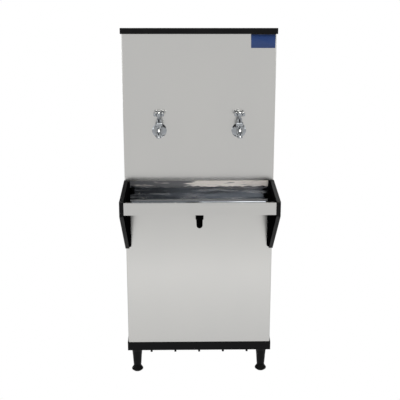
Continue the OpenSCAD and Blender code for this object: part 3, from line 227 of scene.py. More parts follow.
def material(name, group, values, bump, distance, metallic=0.0, **sockets):
    """A Principled material that takes colour, roughness and height from one effect group."""
    finish = bpy.data.materials.new(name)
    finish.use_nodes = True
    tree = finish.node_tree
    shader = tree.nodes["Principled BSDF"]
    shader.inputs["Metallic"].default_value = metallic
    for label, value in sockets.items():
        shader.inputs[label.replace("_", " ")].default_value = value
    surface = tree.nodes.new("ShaderNodeGroup")
    surface.node_tree = group
    for label, value in values.items():
        surface.inputs[label].default_value = (*value, 1.0) if isinstance(value, tuple) else value
    for label, target in (("Colour", "Base Color"), ("Roughness", "Roughness")):
        if label in surface.outputs:
            tree.links.new(surface.outputs[label], shader.inputs[target])
    relief = tree.nodes.new("ShaderNodeBump")
    relief.inputs["Strength"].default_value = bump
    relief.inputs["Distance"].default_value = distance
    tree.links.new(surface.outputs["Height"], relief.inputs["Height"])
    tree.links.new(relief.outputs[0], shader.inputs["Normal"])
    return finish


black_moulding = material(
    "black_moulding", moulded_grain,
    {"Colour": (0.0033, 0.0034, 0.0041), "Dusty": (0.0049, 0.0050, 0.0058), "Smooth": 0.40, "Dull": 0.54},
    bump=0.25, distance=0.00012, Specular_IOR_Level=0.145)


def as_piece(mesh, name, finish, body, slot, *nodes):
    """Links a finished mesh as a piece on a body, standing for the CAD nodes named."""
    piece = bpy.data.objects.new(name, mesh)
    scene.collection.objects.link(piece)
    mesh.materials.clear()
    mesh.materials.append(finish)
    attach(piece, body)
    if nodes:
        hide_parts(*nodes)
    return piece


def smoothed(mesh, angle):
    """Smooth shading up to an angle between faces, sharp beyond it."""
    mesh.polygons.foreach_set("use_smooth", [True] * len(mesh.polygons))
    mesh.set_sharp_from_angle(angle=math.radians(angle))
    return mesh


def with_modifiers(mesh, *modifiers):
    """The mesh after (type, settings) modifiers."""
    work = bpy.data.objects.new("work", mesh)
    scene.collection.objects.link(work)
    for kind, settings in modifiers:
        modifier = work.modifiers.new(kind, kind)
        for label, value in settings.items():
            setattr(modifier, label, value)
    result = bpy.data.meshes.new_from_object(work.evaluated_get(bpy.context.evaluated_depsgraph_get()))
    bpy.data.objects.remove(work)
    return result


# Faces that meet within the flat angle become one, and edges beyond the ease angle are rounded
weld_reach = 1e-5
flat_angle, ease_angle, crease_angle = 0.4, 30, 40


def eased(node, width, segments=2):
    """A copy of a CAD node with its sharp edges rounded."""
    mesh = frame["nodes"][node].data.copy()
    if "custom_normal" in mesh.attributes:
        mesh.attributes.remove(mesh.attributes["custom_normal"])
    bm = bmesh.new()
    bm.from_mesh(mesh)
    bmesh.ops.remove_doubles(bm, verts=bm.verts, dist=weld_reach)
    bmesh.ops.dissolve_limit(bm, angle_limit=math.radians(flat_angle), verts=bm.verts, edges=bm.edges)
    bm.to_mesh(mesh)
    bm.free()
    mesh = with_modifiers(mesh, ("BEVEL", {
        "width": width, "segments": segments, "limit_method": "ANGLE",
        "angle_limit": math.radians(ease_angle), "use_clamp_overlap": True, "miter_outer": "MITER_ARC"}))
    return with_modifiers(
        smoothed(mesh, crease_angle), ("WEIGHTED_NORMAL", {"keep_sharp": True, "weight": 100}))


as_piece(eased("base", width=0.0011, segments=3), "moulded_base", black_moulding, "cabinet",
         "black_plastic", "base")

# Legs and screw feet
# Four black plastic legs, turned in shape, with a flared top that seats under the base. Each has a
# round glide on a threaded stud, for levelling.
most_cut_share = 0.49


def mesh_of(bm, name):
    """The mesh of a bmesh, which is then freed."""
    mesh = bpy.data.meshes.new(name)
    bm.to_mesh(mesh)
    bm.free()
    return mesh


def turned(outline, steps=72):
    """A mesh turned about the upright axis from (radius, height) points, closed at the ends."""
    bm = bmesh.new()
    rings = []
    for r, z in outline:
        if r == 0:
            rings.append([bm.verts.new((0, 0, z))])
        else:
            rings.append([bm.verts.new((r * math.cos(a), r * math.sin(a), z))
                          for a in (2 * math.pi * k / steps for k in range(steps))])
    for low, high in zip(rings, rings[1:]):
        for k in range(steps):
            j = (k + 1) % steps
            if len(low) > 1 and len(high) > 1:
                bm.faces.new((low[k], low[j], high[j], high[k]))
            elif len(high) > 1:
                bm.faces.new((low[0], high[j], high[k]))
            elif len(low) > 1:
                bm.faces.new((low[k], low[j], high[0]))
    bmesh.ops.recalc_face_normals(bm, faces=bm.faces)
    return mesh_of(bm, "turned")


def rounded(points, radii, steps=4):
    """Rounds the inner corners of a (radius, height) outline, each by its own radius. The rounding takes
    at most a share of the sides."""
    out = [points[0]]
    for p, q, s, r in zip(points, points[1:], points[2:], radii):
        if r == 0:
            out.append(q)
            continue
        back, on = Vector(p) - Vector(q), Vector(s) - Vector(q)
        most_cut = most_cut_share * min(back.length, on.length)
        cut = min(r / math.tan(back.angle(on) / 2), most_cut)
        start, end = Vector(q) + back.normalized() * cut, Vector(q) + on.normalized() * cut
        for k in range(steps + 1):
            t = k / steps
            out.append(tuple((1 - t) ** 2 * start + 2 * t * (1 - t) * Vector(q) + t ** 2 * end))
    out.append(points[-1])
    return out


def placed(mesh, place):
    """Moves a mesh to a place."""
    mesh.transform(Matrix.Translation(place))
    return mesh


rib_depth, leg_gap = 0.009, 0.0002
leg_sole_r, leg_low_r, leg_mid_r, leg_neck_r, leg_top_r = 0.0152, 0.0160, 0.0185, 0.0208, 0.0250
leg_ease_h, leg_mid_h, leg_neck_h, leg_lip_h = 0.0015, 0.040, 0.062, 0.0020
leg_rounds = (0.0, 0.0008, 0.03, 0.02, 0.004, 0.001)
foot_sole_share = 0.66
edge_low_z, edge_top_z = 0.0065, 0.0105
neck_low_r, neck_low_z, neck_top_r, neck_top_z = 0.0165, 0.0205, 0.0150, 0.0272
stud_foot_r, stud_foot_z, stud_r, stud_low_z, stud_top_z = 0.0055, 0.0277, 0.0050, 0.0290, 0.0770
glide_rounds = (0.002, 0.004, 0.004, 0.005, 0.001, 0.0, 0.0, 0.0)
turned_crease = 35
top_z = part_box("base")[0].z + rib_depth - leg_gap
for corner in ("front_left", "front_right", "rear_left", "rear_right"):
    leg_low, leg_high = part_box("leg_" + corner)
    pad_low, pad_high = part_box("foot_" + corner)
    middle = (leg_low + leg_high) / 2
    pad_r = (pad_high.x - pad_low.x) / 2
    leg = turned(rounded(
        [(0, leg_low.z), (leg_sole_r, leg_low.z), (leg_low_r, leg_low.z + leg_ease_h),
         (leg_mid_r, leg_low.z + leg_mid_h), (leg_neck_r, leg_low.z + leg_neck_h),
         (leg_top_r, top_z - leg_lip_h), (leg_top_r, top_z), (0, top_z)], leg_rounds))
    as_piece(placed(smoothed(leg, turned_crease), (middle.x, middle.y, 0)), "leg_moulding_" + corner,
             black_moulding, "cabinet", "black_plastic", "leg_" + corner)
    glide = turned(rounded(
        [(0, 0), (pad_r * foot_sole_share, 0), (pad_r, edge_low_z), (pad_r, edge_top_z),
         (neck_low_r, neck_low_z), (neck_top_r, neck_top_z), (stud_foot_r, stud_foot_z),
         (stud_r, stud_low_z), (stud_r, stud_top_z), (0, stud_top_z)], glide_rounds))
    as_piece(placed(smoothed(glide, turned_crease), (middle.x, middle.y, 0)), "screw_foot_" + corner,
             black_moulding, "foot_" + corner, "black_plastic", "foot_" + corner)

# Cabinet wrap
# A front sheet of brushed stainless steel that is bent round both corners, and two side sheets with
# flanges turned in at the back and the top. The brush lines run up and down them.
brushed_grain, brush_in, brush_out = effect(
    "brushed_grain", {"Colour": (0.6, 0.6, 0.6), "Darker": (0.5, 0.5, 0.5), "Smooth": 0.2, "Rough": 0.35})
brush_lines = placed_noise(brushed_grain, scale=2600, roughness=0.6, stretch=(1, 1, 0.008))
brush_slow = placed_noise(brushed_grain, scale=5, detail=3.0, roughness=0.55, stretch=(1, 1, 0.5))
brush_worn = ranged(brush_slow, low=0.35, high=0.7)
put_out(brush_out, Colour=blended(brush_worn, brush_in["Colour"], brush_in["Darker"]),
        Roughness=ranged(brush_lines, 0.30, 0.70, brush_in["Smooth"], brush_in["Rough"]),
        Height=brush_lines)

brushed_stainless = material(
    "brushed_stainless", brushed_grain,
    {"Colour": (0.704, 0.697, 0.677), "Darker": (0.689, 0.684, 0.668), "Smooth": 0.165, "Rough": 0.190},
    bump=0.03, distance=0.00001, metallic=1.0, Anisotropic=0.7)
for node, name in (("cabinet_front", "front_sheet"), ("cabinet_sides", "side_sheets")):
    as_piece(eased(node, width=0.0003), name, brushed_stainless, "cabinet", "brushed_stainless", node)

# Lid
# A black plastic cap, moulded in one piece, that drops over the top of the cabinet. The foam plug
# bonded under it reaches down into the top of the tank.
as_piece(eased("lid", width=0.0016, segments=4), "lid_cap", black_moulding, "lid", "black_plastic", "lid")

# Tray
# A mirror-finish stainless trough behind a brushed front band, held between two black moulded
# brackets that are screwed to the front sheet.
rolled_mirror, mirror_in, mirror_out = effect(
    "rolled_mirror",
    {"Colour": (0.8, 0.8, 0.8), "Marked": (0.7, 0.7, 0.7), "Smooth": 0.03, "Rough": 0.12,
     "Rim": 9.0, "Rolled": (0.7, 0.7, 0.7), "Darker": (0.3, 0.3, 0.3), "Satin": 0.3,
     "Filmed": (0.5, 0.5, 0.5), "Film": 0.0})
roll_wave = placed_noise(rolled_mirror, scale=24, roughness=0.45, stretch=(0.09, 1, 1))
roll_marks = placed_noise(rolled_mirror, scale=60, detail=5.0, roughness=0.65)
edge_noise = placed_noise(rolled_mirror, scale=16, stretch=(1, 0.2, 0.2))
streaks = placed_noise(rolled_mirror, scale=90, detail=3.0, roughness=0.6, stretch=(0.10, 1, 1))
mirror_coord = rolled_mirror.nodes.new("ShaderNodeTexCoord")
mirror_split = rolled_mirror.nodes.new("ShaderNodeSeparateXYZ")
rolled_mirror.links.new(mirror_coord.outputs["Object"], mirror_split.inputs[0])
place_x, place_y, place_z = mirror_split.outputs


def scaled_sum(a, factor, b):
    """One value times a factor, plus another value."""
    tree = a.id_data
    node = tree.nodes.new("ShaderNodeMath")
    node.operation = "MULTIPLY_ADD"
    node.inputs[1].default_value = factor
    tree.links.new(a, node.inputs[0])
    tree.links.new(b, node.inputs[2])
    return node.outputs[0]


# The polish stops at a wavering line below the rim, and above it the sheet keeps its satin. So does the
# front wall, down to the floor. The satin's colour is a painted highlight, near white, for the bright
# reflection along the rim, and on the front wall it is painted light that the sheet above reflects.
# Heights are counted from the input Rim, which is far above the object by default and so leaves plain
# polish.
satin_stray, satin_edge = 0.030, 0.0012
floor_z, front_wall_y = (-0.076, -0.070), (-0.325, -0.315)
above_rim = scaled_sum(mirror_in["Rim"], -1.0, place_z)
on_front_wall = ranged(above_rim, *floor_z, 0.0, ranged(place_y, *front_wall_y, 1.0, 0.0))
is_satin = ranged(scaled_sum(edge_noise, satin_stray, above_rim), 0.0, satin_edge, on_front_wall, 1.0)

# Darker streaks run along the satin's painted highlight, more of them towards the left end, so that the
# left end is painted shade.
streak_strength = 3.4
darker_x, darker_shift, highlight_range = (-0.09, 0.0), (-1.25, -0.35), (0.7, 1.15)
streak_level = scaled_sum(streaks, streak_strength, ranged(place_x, *darker_x, *darker_shift))
is_highlight = ranged(streak_level, *highlight_range, on_front_wall, 1.0)

# Spilt water leaves a dull film on the floor. Its colour is painted light, far lighter than the polish, so
# that the wall reflects a bright floor, and more of it lies towards the right end, which is painted
# lighter.
# Lighter lines run along the wall, and a band above the bend at its foot is painted lighter over a dark
# reflection.
film_light_x, floor_y, lighter_band_z, line_range = (-0.50, 0.05), (-0.160, -0.150), (-0.069, -0.064), (0.52, 0.74)
floor_film_light = ranged(place_y, *floor_y, ranged(place_x, *film_light_x, 0.0, mirror_in["Film"]), 0.0)
line_film_light = ranged(streaks, *line_range, 0.0, mirror_in["Film"])
wall_film_light = ranged(above_rim, *lighter_band_z, mirror_in["Film"], line_film_light)
is_film_light = ranged(above_rim, *floor_z, floor_film_light, wall_film_light)

polish_colour = blended(ranged(roll_marks, low=0.45, high=0.75), mirror_in["Colour"], mirror_in["Marked"])
polish_roughness = ranged(roll_marks, 0.40, 0.80, mirror_in["Smooth"], mirror_in["Rough"])
bright_colour = blended(is_film_light, polish_colour, mirror_in["Filmed"])
bright_roughness = ranged(is_film_light, 0.0, 1.0, polish_roughness, mirror_in["Satin"])
# The satin's colour: a painted highlight, cut by painted shade in darker streaks
satin_painted_colour = blended(is_highlight, mirror_in["Darker"], mirror_in["Rolled"])
put_out(mirror_out, Colour=blended(is_satin, bright_colour, satin_painted_colour),
        Roughness=ranged(is_satin, 0.0, 1.0, bright_roughness, mirror_in["Satin"]), Height=roll_wave)

# The polish is painted dark blue, far darker than polished steel: a painted reflection of dark surroundings
mirror_stainless = material(
    "mirror_stainless", rolled_mirror,
    {"Colour": (0.130, 0.145, 0.166), "Marked": (0.106, 0.120, 0.140), "Smooth": 0.045, "Rough": 0.10,
     "Rim": 0.8065, "Rolled": (1.0, 0.965, 0.92), "Darker": (0.21, 0.215, 0.23), "Satin": 0.52,
     "Filmed": (0.44, 0.455, 0.485), "Film": 1.0},
    bump=0.7, distance=0.0030, metallic=1.0)
as_piece(eased("tray_trough", width=0.0003), "trough", mirror_stainless, "cabinet", "mirror_stainless",
         "tray_trough")
as_piece(eased("tray_front_band", width=0.0004), "front_band", brushed_stainless, "cabinet",
         "brushed_stainless", "tray_front_band")

# The cheek towards the trough is painted darker than the rim, without gloss, and is rougher: painted
# shade for the shade that the trough casts on it.
shaded_moulding = material(
    "shaded_moulding", moulded_grain,
    {"Colour": (0.0014, 0.0014, 0.0016), "Dusty": (0.0020, 0.0020, 0.0022), "Smooth": 0.62, "Dull": 0.75},
    bump=0.25, distance=0.00012, Specular_IOR_Level=0.0)
cheek_t = 0.0074
for side in ("left", "right"):
    bracket = as_piece(eased("tray_bracket_" + side, width=0.0012, segments=3), "bracket_" + side,
                       black_moulding, "cabinet", "black_plastic", "tray_bracket_" + side)
    # Faces within cheek_t of the innermost face are the cheek, and take the painted shade
    cheek_reach = min(abs(v.co.x) for v in bracket.data.vertices) + cheek_t
    bracket.data.materials.append(shaded_moulding)
    for face in bracket.data.polygons:
        face.material_index = 1 if abs(face.center.x) < cheek_reach else 0

# Tray waste
# A stainless strainer screwed through the trough into a black plastic backnut, with a black elbow that
# takes the spilt water into the cabinet. Below the trough the strainer's tail, the nut and the elbow are
# painted darker than black plastic, as painted shade for the shade under the trough.
elbow_crease = 50
strainer = as_piece(eased("waste_strainer", width=0.0004), "strainer", mirror_stainless, "cabinet",
                    "mirror_stainless", "waste_strainer")
strainer.data.materials.append(shaded_moulding)
trough_low_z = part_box("tray_trough")[0].z
# The strainer's faces below the trough are painted shade
for face in strainer.data.polygons:
    face.material_index = 1 if face.center.z < trough_low_z else 0
as_piece(eased("waste_nut", width=0.0008, segments=3), "waste_backnut", shaded_moulding, "cabinet",
         "black_plastic", "waste_nut")
as_piece(smoothed(eased("waste_elbow", width=0.0008), elbow_crease), "waste_bend", shaded_moulding,
         "cabinet", "black_plastic", "waste_elbow")

# Taps
# Two chrome-plated brass taps. Each has a cast body with its spout, a domed wall flange, a bonnet nut
# with a conical neck, and a four-lobed handle on the spindle.
plated_chrome, chrome_in, chrome_out = effect(
    "plated_chrome",
    {"Colour": (0.9, 0.9, 0.9), "Spotted": (0.8, 0.8, 0.8), "Smooth": 0.03, "Rough": 0.12})
chrome_spots = placed_noise(plated_chrome, scale=220, detail=4.0, roughness=0.6)
chrome_waves = placed_noise(plated_chrome, scale=90, detail=1.0)
chrome_dull = ranged(chrome_spots, low=0.55, high=0.75)
put_out(chrome_out, Colour=blended(chrome_dull, chrome_in["Colour"], chrome_in["Spotted"]),
        Roughness=ranged(chrome_spots, 0.45, 0.80, chrome_in["Smooth"], chrome_in["Rough"]),
        Height=chrome_waves)
# The plate is painted darker than chrome's own colour, as painted shade for the dark surroundings that the
# taps reflect
chrome_plate = material(
    "chrome_plate", plated_chrome,
    {"Colour": (0.40, 0.42, 0.44), "Spotted": (0.34, 0.36, 0.38), "Smooth": 0.04, "Rough": 0.12},
    bump=0.15, distance=0.0004, metallic=1.0)


def swept(points, radii, steps=32):
    """A round tube through points in the upright plane from front to back, with a radius at each."""
    bm = bmesh.new()
    rings = []
    last = len(points) - 1
    side = Vector((1, 0, 0))
    for i, (p, r) in enumerate(zip(points, radii)):
        along = (Vector(points[min(i + 1, last)]) - Vector(points[max(i - 1, 0)])).normalized()
        up = side.cross(along)
        rings.append([bm.verts.new(Vector(p) + r * (math.cos(a) * side + math.sin(a) * up))
                      for a in (2 * math.pi * k / steps for k in range(steps))])
    for low, high in zip(rings, rings[1:]):
        for k in range(steps):
            j = (k + 1) % steps
            bm.faces.new((low[k], low[j], high[j], high[k]))
    bm.faces.new(rings[0])
    bm.faces.new(rings[-1])
    bmesh.ops.recalc_face_normals(bm, faces=bm.faces)
    return mesh_of(bm, "swept")


def gathered(*meshes):
    """One mesh that holds several."""
    bm = bmesh.new()
    for mesh in meshes:
        bm.from_mesh(mesh)
    return mesh_of(bm, "gathered")


def cast(mesh, grain, rounds, kept_share):
    """Fuses overlapping solids into one casting, with fillets where they meet, then thins its faces."""
    return with_modifiers(
        mesh, ("REMESH", {"mode": "VOXEL", "voxel_size": grain}),
        ("SMOOTH", {"factor": 0.5, "iterations": rounds}),
        ("DECIMATE", {"ratio": kept_share}))


def bored(mesh, drill):
    """The mesh with a round hole in it, after the (radius, height) outline of the drill."""
    tool = bpy.data.objects.new("drill", turned(drill, steps=48))
    scene.collection.objects.link(tool)
    result = with_modifiers(
        mesh, ("BOOLEAN", {"object": tool, "operation": "DIFFERENCE", "solver": "EXACT"}))
    bpy.data.objects.remove(tool)
    return result


# Both taps have the same pieces. They are made round the point where the spindle's axis crosses the
# barrel's: heights are counted from it, and the sheet is behind it.
wall_gap = 0.0003
barrel_drop, spindle_out = 0.022, 0.043

# The casting: a chamber for the washer carrier, the barrel to the wall and the bent spout with its lip
chamber_sole_r, chamber_r, rim_r = 0.0080, 0.0130, 0.0146
chamber_low, chamber_wide, chamber_top, rim_low, rim_top = -0.0140, -0.0070, 0.0180, 0.0190, 0.0219
chamber_rounds = (0.004, 0.006, 0.002, 0.001, 0.0008)
chamber = turned(rounded(
    [(0, chamber_low), (chamber_sole_r, chamber_low), (chamber_r, chamber_wide), (chamber_r, chamber_top),
     (rim_r, rim_low), (rim_r, rim_top), (0, rim_top)], chamber_rounds))
barrel_r, barrel_start, barrel_inset = 0.0105, 0.001, 0.0005
barrel = turned([(0, barrel_start), (barrel_r, barrel_start), (barrel_r, spindle_out - barrel_inset),
                 (0, spindle_out - barrel_inset)])
barrel.transform(Matrix.Rotation(-math.pi / 2, 4, "X"))
spout_r, spout_flare, spout_start, spout_tail = 0.0085, 0.001, 0.004, 0.004
spout_lift, spout_bend, spout_straight, spout_steps = 0.007, 0.017, 0.015, 12
spout_out = spout_straight + spout_bend
mouth_drop, mouth_inset = 0.009, 0.0002
mouth_z = spout_lift - spout_bend - mouth_drop
bend = [(0, -spout_straight - spout_bend * math.sin(a), spout_lift - spout_bend * (1 - math.cos(a)))
        for a in (math.pi / 2 * k / spout_steps for k in range(spout_steps + 1))]
spout_line = [(0, spout_start, spout_lift), (0, -spout_start, spout_lift)] + bend + [
    (0, -spout_out, spout_lift - spout_bend - spout_tail), (0, -spout_out, mouth_z + mouth_inset)]
spout = swept(spout_line, [spout_r + spout_flare] * 2 + [spout_r] * (len(spout_line) - 2))
casting = cast(gathered(chamber, barrel, spout), grain=0.00055, rounds=10, kept_share=0.25)
carrier_bore_r, carrier_low, carrier_high = 0.0088, -0.0005, 0.0300
casting = bored(casting, [(0, carrier_low), (carrier_bore_r, carrier_low), (carrier_bore_r, carrier_high),
                          (0, carrier_high)])
lip_bore_r, lip_r, lip_neck_r = 0.0056, 0.0097, 0.0084
lip_tall, lip_neck_tall, lip_bore_tall = 0.0046, 0.0058, 0.006
lip_rounds = (0.0004, 0.0008, 0.0012)
casting_crease = 55
lip = turned(rounded(
    [(lip_bore_r, mouth_z + lip_bore_tall), (lip_bore_r, mouth_z), (lip_r, mouth_z),
     (lip_r, mouth_z + lip_tall), (lip_neck_r, mouth_z + lip_neck_tall)], lip_rounds))
casting = smoothed(gathered(casting, placed(lip, (0, -spout_out, 0))), casting_crease)

# The bonnet: a hexagon with a bore for the stem and a wider one for the carrier's skirt, and a cone on it
stem_bore_r, skirt_bore_r = 0.0043, 0.0074
bore_low, skirt_top, bore_top = 0.0200, 0.0256, 0.0400
hexagon_r, hexagon_tall, hexagon_z, hexagon_ease = 0.0155, 0.0130, 0.0285, 0.0011
bm = bmesh.new()
bmesh.ops.create_cone(
    bm, cap_ends=True, segments=6, radius1=hexagon_r, radius2=hexagon_r, depth=hexagon_tall)
bmesh.ops.translate(bm, verts=bm.verts, vec=(0, 0, hexagon_z))
hexagon = with_modifiers(
    mesh_of(bm, "hexagon"), ("BEVEL", {"width": hexagon_ease, "segments": 3, "limit_method": "ANGLE"}))
hexagon = bored(hexagon, [(0, bore_low), (skirt_bore_r, bore_low), (skirt_bore_r, skirt_top),
                          (stem_bore_r, skirt_top), (stem_bore_r, bore_top), (0, bore_top)])
cone_low_r, cone_mid_r, cone_neck_r, cone_top_r = 0.0112, 0.0100, 0.0088, 0.0078
cone_low, cone_mid, cone_neck, cone_top = 0.0352, 0.0400, 0.0478, 0.0499
cone_rounds = (0.0006, 0.006, 0.003, 0.0008)
cone = turned(rounded(
    [(stem_bore_r, cone_low), (cone_low_r, cone_low), (cone_mid_r, cone_mid), (cone_neck_r, cone_neck),
     (cone_top_r, cone_top), (stem_bore_r, cone_top)], cone_rounds))
bonnet = smoothed(gathered(hexagon, cone), crease_angle)

# The wall flange: a shallow dome round the barrel
flange_r, flange_slope_r, flange_crown_r = 0.028, 0.0225, 0.0150
flange_edge_t, flange_slope_t, flange_crown_t, flange_t = 0.0018, 0.0040, 0.0056, 0.006
flange_rounds = (0.0004, 0.0012, 0.008, 0.006)
flange_crease = 50
flange = turned(rounded(
    [(barrel_r, 0.0), (flange_r, 0.0), (flange_r, flange_edge_t), (flange_slope_r, flange_slope_t),
     (flange_crown_r, flange_crown_t), (barrel_r, flange_t)], flange_rounds))
flange.transform(Matrix.Rotation(math.pi / 2, 4, "X"))
flange = smoothed(flange, flange_crease)

# The spindle, with a collar above the cone
stem_r, stem_low, stem_top = 0.0040, 0.0130, 0.0700
collar_r, collar_low, collar_top = 0.0060, 0.0503, 0.0532
stem_rounds, collar_rounds = (0.0004, 0.0004), (0.0005, 0.0005)
stem = turned(rounded([(0, stem_low), (stem_r, stem_low), (stem_r, stem_top), (0, stem_top)], stem_rounds))
collar = turned(rounded(
    [(stem_r, collar_low), (collar_r, collar_low), (collar_r, collar_top), (stem_r, collar_top)],
    collar_rounds))
spindle = smoothed(gathered(stem, collar), crease_angle)

# The handle: a hub with four round lobes, cast in one
handle_low, handle_tall = 0.0560, 0.0190
handle_top = handle_low + handle_tall
hub_low_r, hub_mid_r, hub_wide_r, hub_top_r = 0.0075, 0.0090, 0.0095, 0.0070
hub_inset, hub_mid_h, hub_wide_h = 0.0005, 0.0050, 0.0150
hub_rounds = (0.001, 0.004, 0.003, 0.003)
hub = turned(rounded(
    [(0, handle_low + hub_inset), (hub_low_r, handle_low + hub_inset), (hub_mid_r, handle_low + hub_mid_h),
     (hub_wide_r, handle_low + hub_wide_h), (hub_top_r, handle_top - hub_inset),
     (0, handle_top - hub_inset)], hub_rounds))
lobe_count, lobe_reach = 4, 0.0205
lobe_r, lobe_low_taper, lobe_top_taper = 0.0076, 0.0010, 0.0008
lobe_low_inset, lobe_wide_h, lobe_top_inset = 0.0022, 0.0090, 0.0026
lobe_rounds = (0.0028, 0.008, 0.0028)
handle_crease = 60
lobe = turned(rounded(
    [(0, handle_low + lobe_low_inset), (lobe_r - lobe_low_taper, handle_low + lobe_low_inset),
     (lobe_r, handle_low + lobe_wide_h), (lobe_r - lobe_top_taper, handle_top - lobe_top_inset),
     (0, handle_top - lobe_top_inset)], lobe_rounds), steps=40)
lobe_out = lobe_reach - lobe_r
lobes = [placed(lobe.copy(), (lobe_out * math.cos(a), lobe_out * math.sin(a), 0))
         for a in (2 * math.pi * k / lobe_count for k in range(lobe_count))]
handle = smoothed(cast(gathered(hub, *lobes), grain=0.0005, rounds=6, kept_share=0.3), handle_crease)

# One CAD node holds both bonnets and one holds both flanges, so the left tap's pieces stand for them
sheet_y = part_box("tap_flanges")[1].y + wall_gap
for side in ("left", "right"):
    tap_low, tap_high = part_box("tap_body_" + side)
    crossing = Vector(((tap_low.x + tap_high.x) / 2, sheet_y - spindle_out, tap_high.z - barrel_drop))
    at_wall = Vector((crossing.x, sheet_y - wall_gap, crossing.z))
    both_bonnets, both_flanges = (["tap_bonnets"], ["tap_flanges"]) if side == "left" else ([], [])
    as_piece(placed(casting.copy(), crossing), "tap_casting_" + side, chrome_plate, "cabinet", "chrome",
             "tap_body_" + side)
    as_piece(placed(bonnet.copy(), crossing), "tap_bonnet_" + side, chrome_plate, "cabinet", "chrome",
             *both_bonnets)
    as_piece(placed(flange.copy(), at_wall), "wall_flange_" + side, chrome_plate, "cabinet", "chrome",
             *both_flanges)
    as_piece(placed(spindle.copy(), crossing), "tap_spindle_" + side, chrome_plate, "tap_" + side, "brass",
             "tap_stem_" + side)
    as_piece(placed(handle.copy(), crossing), "cross_handle_" + side, chrome_plate, "tap_" + side, "chrome",
             "tap_handle_" + side)

# Badge
# A small enamelled plate with a raised rim, stuck under the lid at the right. It is left bare.
badge_x, badge_z = (0.1925, 0.2866), (1.3175, 1.3700)
badge_t, badge_round, badge_rim = 0.0009, 0.0030, 0.0016
field_t, field_round, field_sunk = 0.0005, 0.0020, 0.0002
corner_steps = 6
badge_enamel = material(
    "badge_enamel", moulded_grain,
    {"Colour": (0.014, 0.040, 0.150), "Dusty": (0.016, 0.046, 0.165), "Smooth": 0.26, "Dull": 0.36},
    bump=0.05, distance=0.00005)


def plate(x, z, y, t, round_r, ease, name):
    """A thin upright plate with rounded corners and eased edges, its face towards the front."""
    bm = bmesh.new()
    points = []
    for cx, cz, a0 in ((x[1] - round_r, z[1] - round_r, 0), (x[0] + round_r, z[1] - round_r, 90),
                       (x[0] + round_r, z[0] + round_r, 180), (x[1] - round_r, z[0] + round_r, 270)):
        for a in (math.radians(a0 + k * 90 / corner_steps) for k in range(corner_steps + 1)):
            points.append((cx + round_r * math.cos(a), y, cz + round_r * math.sin(a)))
    face = bm.faces.new([bm.verts.new(point) for point in points])
    grown = bmesh.ops.extrude_face_region(bm, geom=[face])
    bmesh.ops.translate(bm, verts=[v for v in grown["geom"] if isinstance(v, bmesh.types.BMVert)],
                        vec=(0, -t, 0))
    bmesh.ops.recalc_face_normals(bm, faces=bm.faces)
    mesh = with_modifiers(
        mesh_of(bm, name), ("BEVEL", {"width": ease, "segments": 2, "limit_method": "ANGLE"}))
    return smoothed(mesh, crease_angle)


rim = plate(badge_x, badge_z, sheet_y, badge_t, badge_round, ease=0.0002, name="badge_rim")
as_piece(rim, "badge_back", brushed_stainless, "cabinet", "brushed_stainless")
field_x = (badge_x[0] + badge_rim, badge_x[1] - badge_rim)
field_z = (badge_z[0] + badge_rim, badge_z[1] - badge_rim)
field = plate(field_x, field_z, sheet_y - badge_t + field_sunk, field_t, field_round, ease=0.00015,
              name="badge_field")
as_piece(field, "badge_field", badge_enamel, "cabinet", "black_plastic")

# Inside and behind
# The tank in its foam jacket, the float valve, the refrigeration set and the sheet-steel parts that
# carry them. Copper, brass and zinc-plated steel keep the marks of the workshop.
turned_brass = material(
    "turned_brass", plated_chrome,
    {"Colour": (0.72, 0.52, 0.24), "Spotted": (0.52, 0.36, 0.17), "Smooth": 0.18, "Rough": 0.36},
    bump=0.1, distance=0.0003, metallic=1.0)
zinc_plate = material(
    "zinc_plate", rolled_mirror,
    {"Colour": (0.56, 0.57, 0.58), "Marked": (0.44, 0.45, 0.47), "Smooth": 0.32, "Rough": 0.5},
    bump=0.05, distance=0.0005, metallic=1.0)
drawn_copper = material(
    "drawn_copper", plated_chrome,
    {"Colour": (0.72, 0.34, 0.18), "Spotted": (0.42, 0.18, 0.10), "Smooth": 0.2, "Rough": 0.42},
    bump=0.1, distance=0.0003, metallic=1.0)
tank_steel = material(
    "tank_steel", brushed_grain,
    {"Colour": (0.66, 0.67, 0.68), "Darker": (0.60, 0.61, 0.62), "Smooth": 0.16, "Rough": 0.3},
    bump=0.1, distance=0.00005, metallic=1.0)
black_enamel = material(
    "black_enamel", moulded_grain,
    {"Colour": (0.010, 0.010, 0.011), "Dusty": (0.035, 0.034, 0.032), "Smooth": 0.16, "Dull": 0.42},
    bump=0.06, distance=0.0001)
soft_rubber = material(
    "soft_rubber", moulded_grain,
    {"Colour": (0.022, 0.022, 0.023), "Dusty": (0.05, 0.049, 0.047), "Smooth": 0.6, "Dull": 0.85},
    bump=0.3, distance=0.0002)
float_blue = material(
    "float_blue", moulded_grain,
    {"Colour": (0.020, 0.12, 0.34), "Dusty": (0.03, 0.15, 0.38), "Smooth": 0.2, "Dull": 0.35},
    bump=0.05, distance=0.0001)
white_nylon = material(
    "white_nylon", moulded_grain,
    {"Colour": (0.75, 0.74, 0.68), "Dusty": (0.62, 0.60, 0.54), "Smooth": 0.35, "Dull": 0.5},
    bump=0.1, distance=0.0001)
grey_pipe = material(
    "grey_pipe", moulded_grain,
    {"Colour": (0.25, 0.25, 0.245), "Dusty": (0.32, 0.31, 0.29), "Smooth": 0.35, "Dull": 0.5},
    bump=0.1, distance=0.0001)

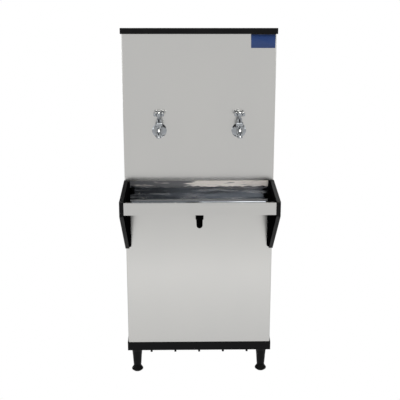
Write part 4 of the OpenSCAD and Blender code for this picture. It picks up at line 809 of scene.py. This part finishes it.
foam_cells, foam_in, foam_out = effect(
    "foam_cells", {"Colour": (0.8, 0.76, 0.6), "Aged": (0.7, 0.6, 0.4)}, outputs=("Colour", "Height"))
foam_coord = foam_cells.nodes.new("ShaderNodeTexCoord")
foam_cell = foam_cells.nodes.new("ShaderNodeTexVoronoi")
foam_cell.inputs["Scale"].default_value = 420
foam_cells.links.new(foam_coord.outputs["Object"], foam_cell.inputs["Vector"])
foam_slow = placed_noise(foam_cells, scale=9, detail=4.0, roughness=0.6)
foam_aged = ranged(foam_slow, low=0.4, high=0.7)
put_out(foam_out, Colour=blended(foam_aged, foam_in["Colour"], foam_in["Aged"]),
        Height=foam_cell.outputs["Distance"])
blown_foam = material(
    "blown_foam", foam_cells, {"Colour": (0.74, 0.68, 0.50), "Aged": (0.62, 0.52, 0.32)},
    bump=0.5, distance=0.0008, Roughness=0.85)

# For each finish: its slot, the CAD nodes that it covers, and how far their edges are rounded
behind = {
    zinc_plate: ("zinc_steel", ("rear_panel", "tank_shelf", "compressor_rails", "thermostat"), 0.0004),
    tank_steel: ("stainless_tank", ("tank",), 0.0006),
    blown_foam: ("foam", ("tank_jacket", "lid_plug"), 0.0020),
    drawn_copper: ("copper", ("filter_drier",), 0.0003),
    turned_brass: ("brass", ("float_valve", "float_valve_nuts", "float_arm", "tap_backnuts"), 0.0004),
    float_blue: ("blue_float", ("float_ball",), 0.0006),
    grey_pipe: ("grey_plastic", ("waste_pipe",), 0.0005),
    soft_rubber: ("rubber", ("compressor_grommets",), 0.0006),
    black_enamel: ("black_enamel", ("compressor", "condenser_lugs"), 0.0006),
    black_moulding: ("black_plastic", ("terminal_cover", "thermostat_knob", "cable_gland"), 0.0006),
}
body_of = {n: body for body, nodes in frame["record"]["behaviour"]["bodies"].items() for n in nodes}
for finish, (slot, nodes, ease) in behind.items():
    for node in nodes:
        as_piece(eased(node, ease), node + "_shown", finish, body_of[node], slot, node)

# What is left of the CAD nodes keeps its shape, and takes its own finish
kept = {
    zinc_plate: ("rear_panel_screws", "compressor_bolts", "tray_bracket_screws", "float_pin"),
    drawn_copper: ("evaporator_coil", "capillary_tube", "discharge_line", "suction_line"),
    white_nylon: ("float_plunger",),
    soft_rubber: ("tap_jumper_left", "tap_jumper_right"),
    black_enamel: ("condenser_tube", "condenser_wires"),
}
for finish, nodes in kept.items():
    for node in nodes:
        mesh = frame["nodes"][node].data
        mesh.materials.clear()
        mesh.materials.append(finish)
        mesh.polygons.foreach_set("use_smooth", [True] * len(mesh.polygons))
